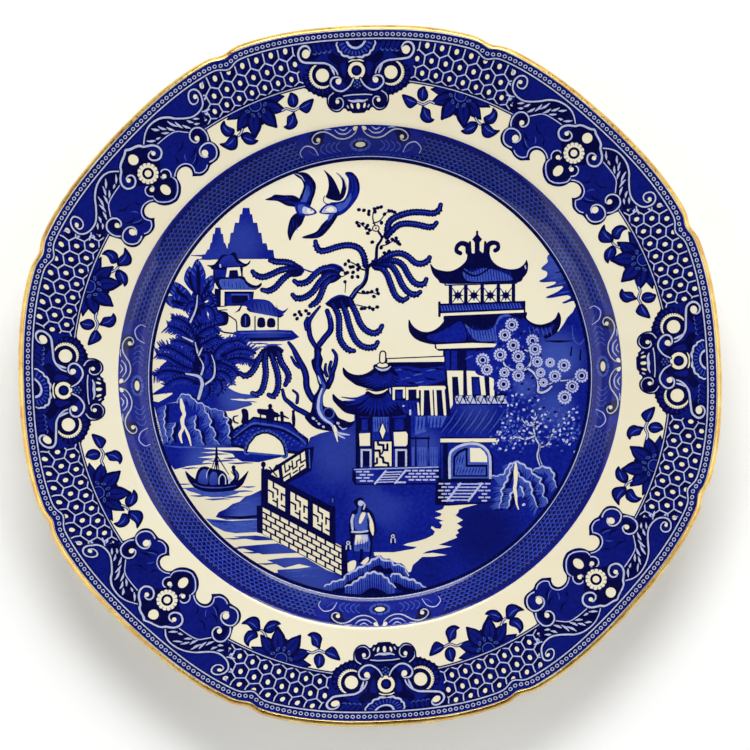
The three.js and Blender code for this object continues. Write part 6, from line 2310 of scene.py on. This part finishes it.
# ---------------------------------------------------------------------------
# Floor, light and camera
# ---------------------------------------------------------------------------
def make_floor():
    nodes = Nodes("pale_paper_floor")
    nodes.link(nodes.mix(nodes.noise(6, 3), linear(246, 246, 245), linear(251, 251, 250)), "Base Color")
    nodes.set(Roughness=0.9)
    floor = new_object("floor", [(-4000, -4000, 0), (4000, -4000, 0), (4000, 4000, 0), (-4000, 4000, 0)],
                       [(0, 1, 2, 3)], nodes.material, smooth=False)


def add_lamp(name, place, size, power):
    """A soft box at a place, aimed at the middle of the plate, that the camera doesn't see."""
    light = bpy.data.lights.new(name, "AREA")
    light.shape = "RECTANGLE"
    light.size, light.size_y = size
    light.energy = power
    lamp = bpy.data.objects.new(name, light)
    lamp.location = place
    lamp.visible_camera = False
    lamp.rotation_euler = (Vector((0, 0, 0)) - Vector(place)).to_track_quat("-Z", "Y").to_euler()
    bpy.context.collection.objects.link(lamp)
    return lamp


def make_surroundings():
    """A pale room all round, darker overhead, so that the glaze does not veil the ink."""
    world = bpy.data.worlds.new("studio")
    world.use_nodes = True
    tree = world.node_tree
    direction = tree.nodes.new("ShaderNodeTexCoord")
    height = tree.nodes.new("ShaderNodeSeparateXYZ")
    shade = tree.nodes.new("ShaderNodeValToRGB")
    tree.links.new(direction.outputs["Generated"], height.inputs["Vector"])
    tree.links.new(height.outputs["Z"], shade.inputs["Fac"])
    tree.links.new(shade.outputs["Color"], tree.nodes["Background"].inputs["Color"])
    for stop, place, grey in zip(shade.color_ramp.elements, (0.12, 0.62), (0.34, 0.03)):
        stop.position = place
        stop.color = (grey, grey, grey, 1)
    bpy.context.scene.world = world


def make_light():
    make_surroundings()
    add_lamp("key_softbox", (0.1, 1.35, 1.15), (1.3, 0.7), 28.8)
    add_lamp("left_softbox", (-1.5, -0.2, 1.05), (2.2, 1.8), 17.4)
    add_lamp("right_softbox", (1.5, 0.1, 1.05), (2.2, 1.8), 17.4)
    fill = add_lamp("front_fill", (0.0, -1.6, 1.1), (2.0, 1.0), 9.4)
    fill.visible_glossy = False


def make_camera():
    camera = bpy.data.cameras.new("camera")
    camera.lens = 200
    camera.sensor_width = 36
    camera.clip_start, camera.clip_end = 0.05, 20
    eye = bpy.data.objects.new("camera", camera)
    roll, elevation, distance = SCENE_TURN, math.radians(86), 1.5
    right = Vector((math.cos(roll), math.sin(roll), 0))
    up = Vector((-math.sin(roll), math.cos(roll), 0))
    aim = Vector((0, 0, 0.018)) + 0.00179 * right - 0.00023 * up
    back = (-up * math.cos(elevation) + Vector((0, 0, 1)) * math.sin(elevation)).normalized()
    over = back.cross(right)
    eye.matrix_world = Matrix((
        (right.x, over.x, back.x, aim.x + back.x * distance),
        (right.y, over.y, back.y, aim.y + back.y * distance),
        (right.z, over.z, back.z, aim.z + back.z * distance),
        (0, 0, 0, 1)))
    bpy.context.collection.objects.link(eye)
    bpy.context.scene.camera = eye
    bpy.context.scene.view_settings.view_transform = "Standard"


china, clay, gold = make_china(), make_clay(), make_gilding()
make_plate(china, clay)
make_prints([make_ink(tone) for tone in (DEEP, BLUE, LIGHT, PALE)])
make_gilt_line(gold)
make_floor()
make_light()
make_camera()
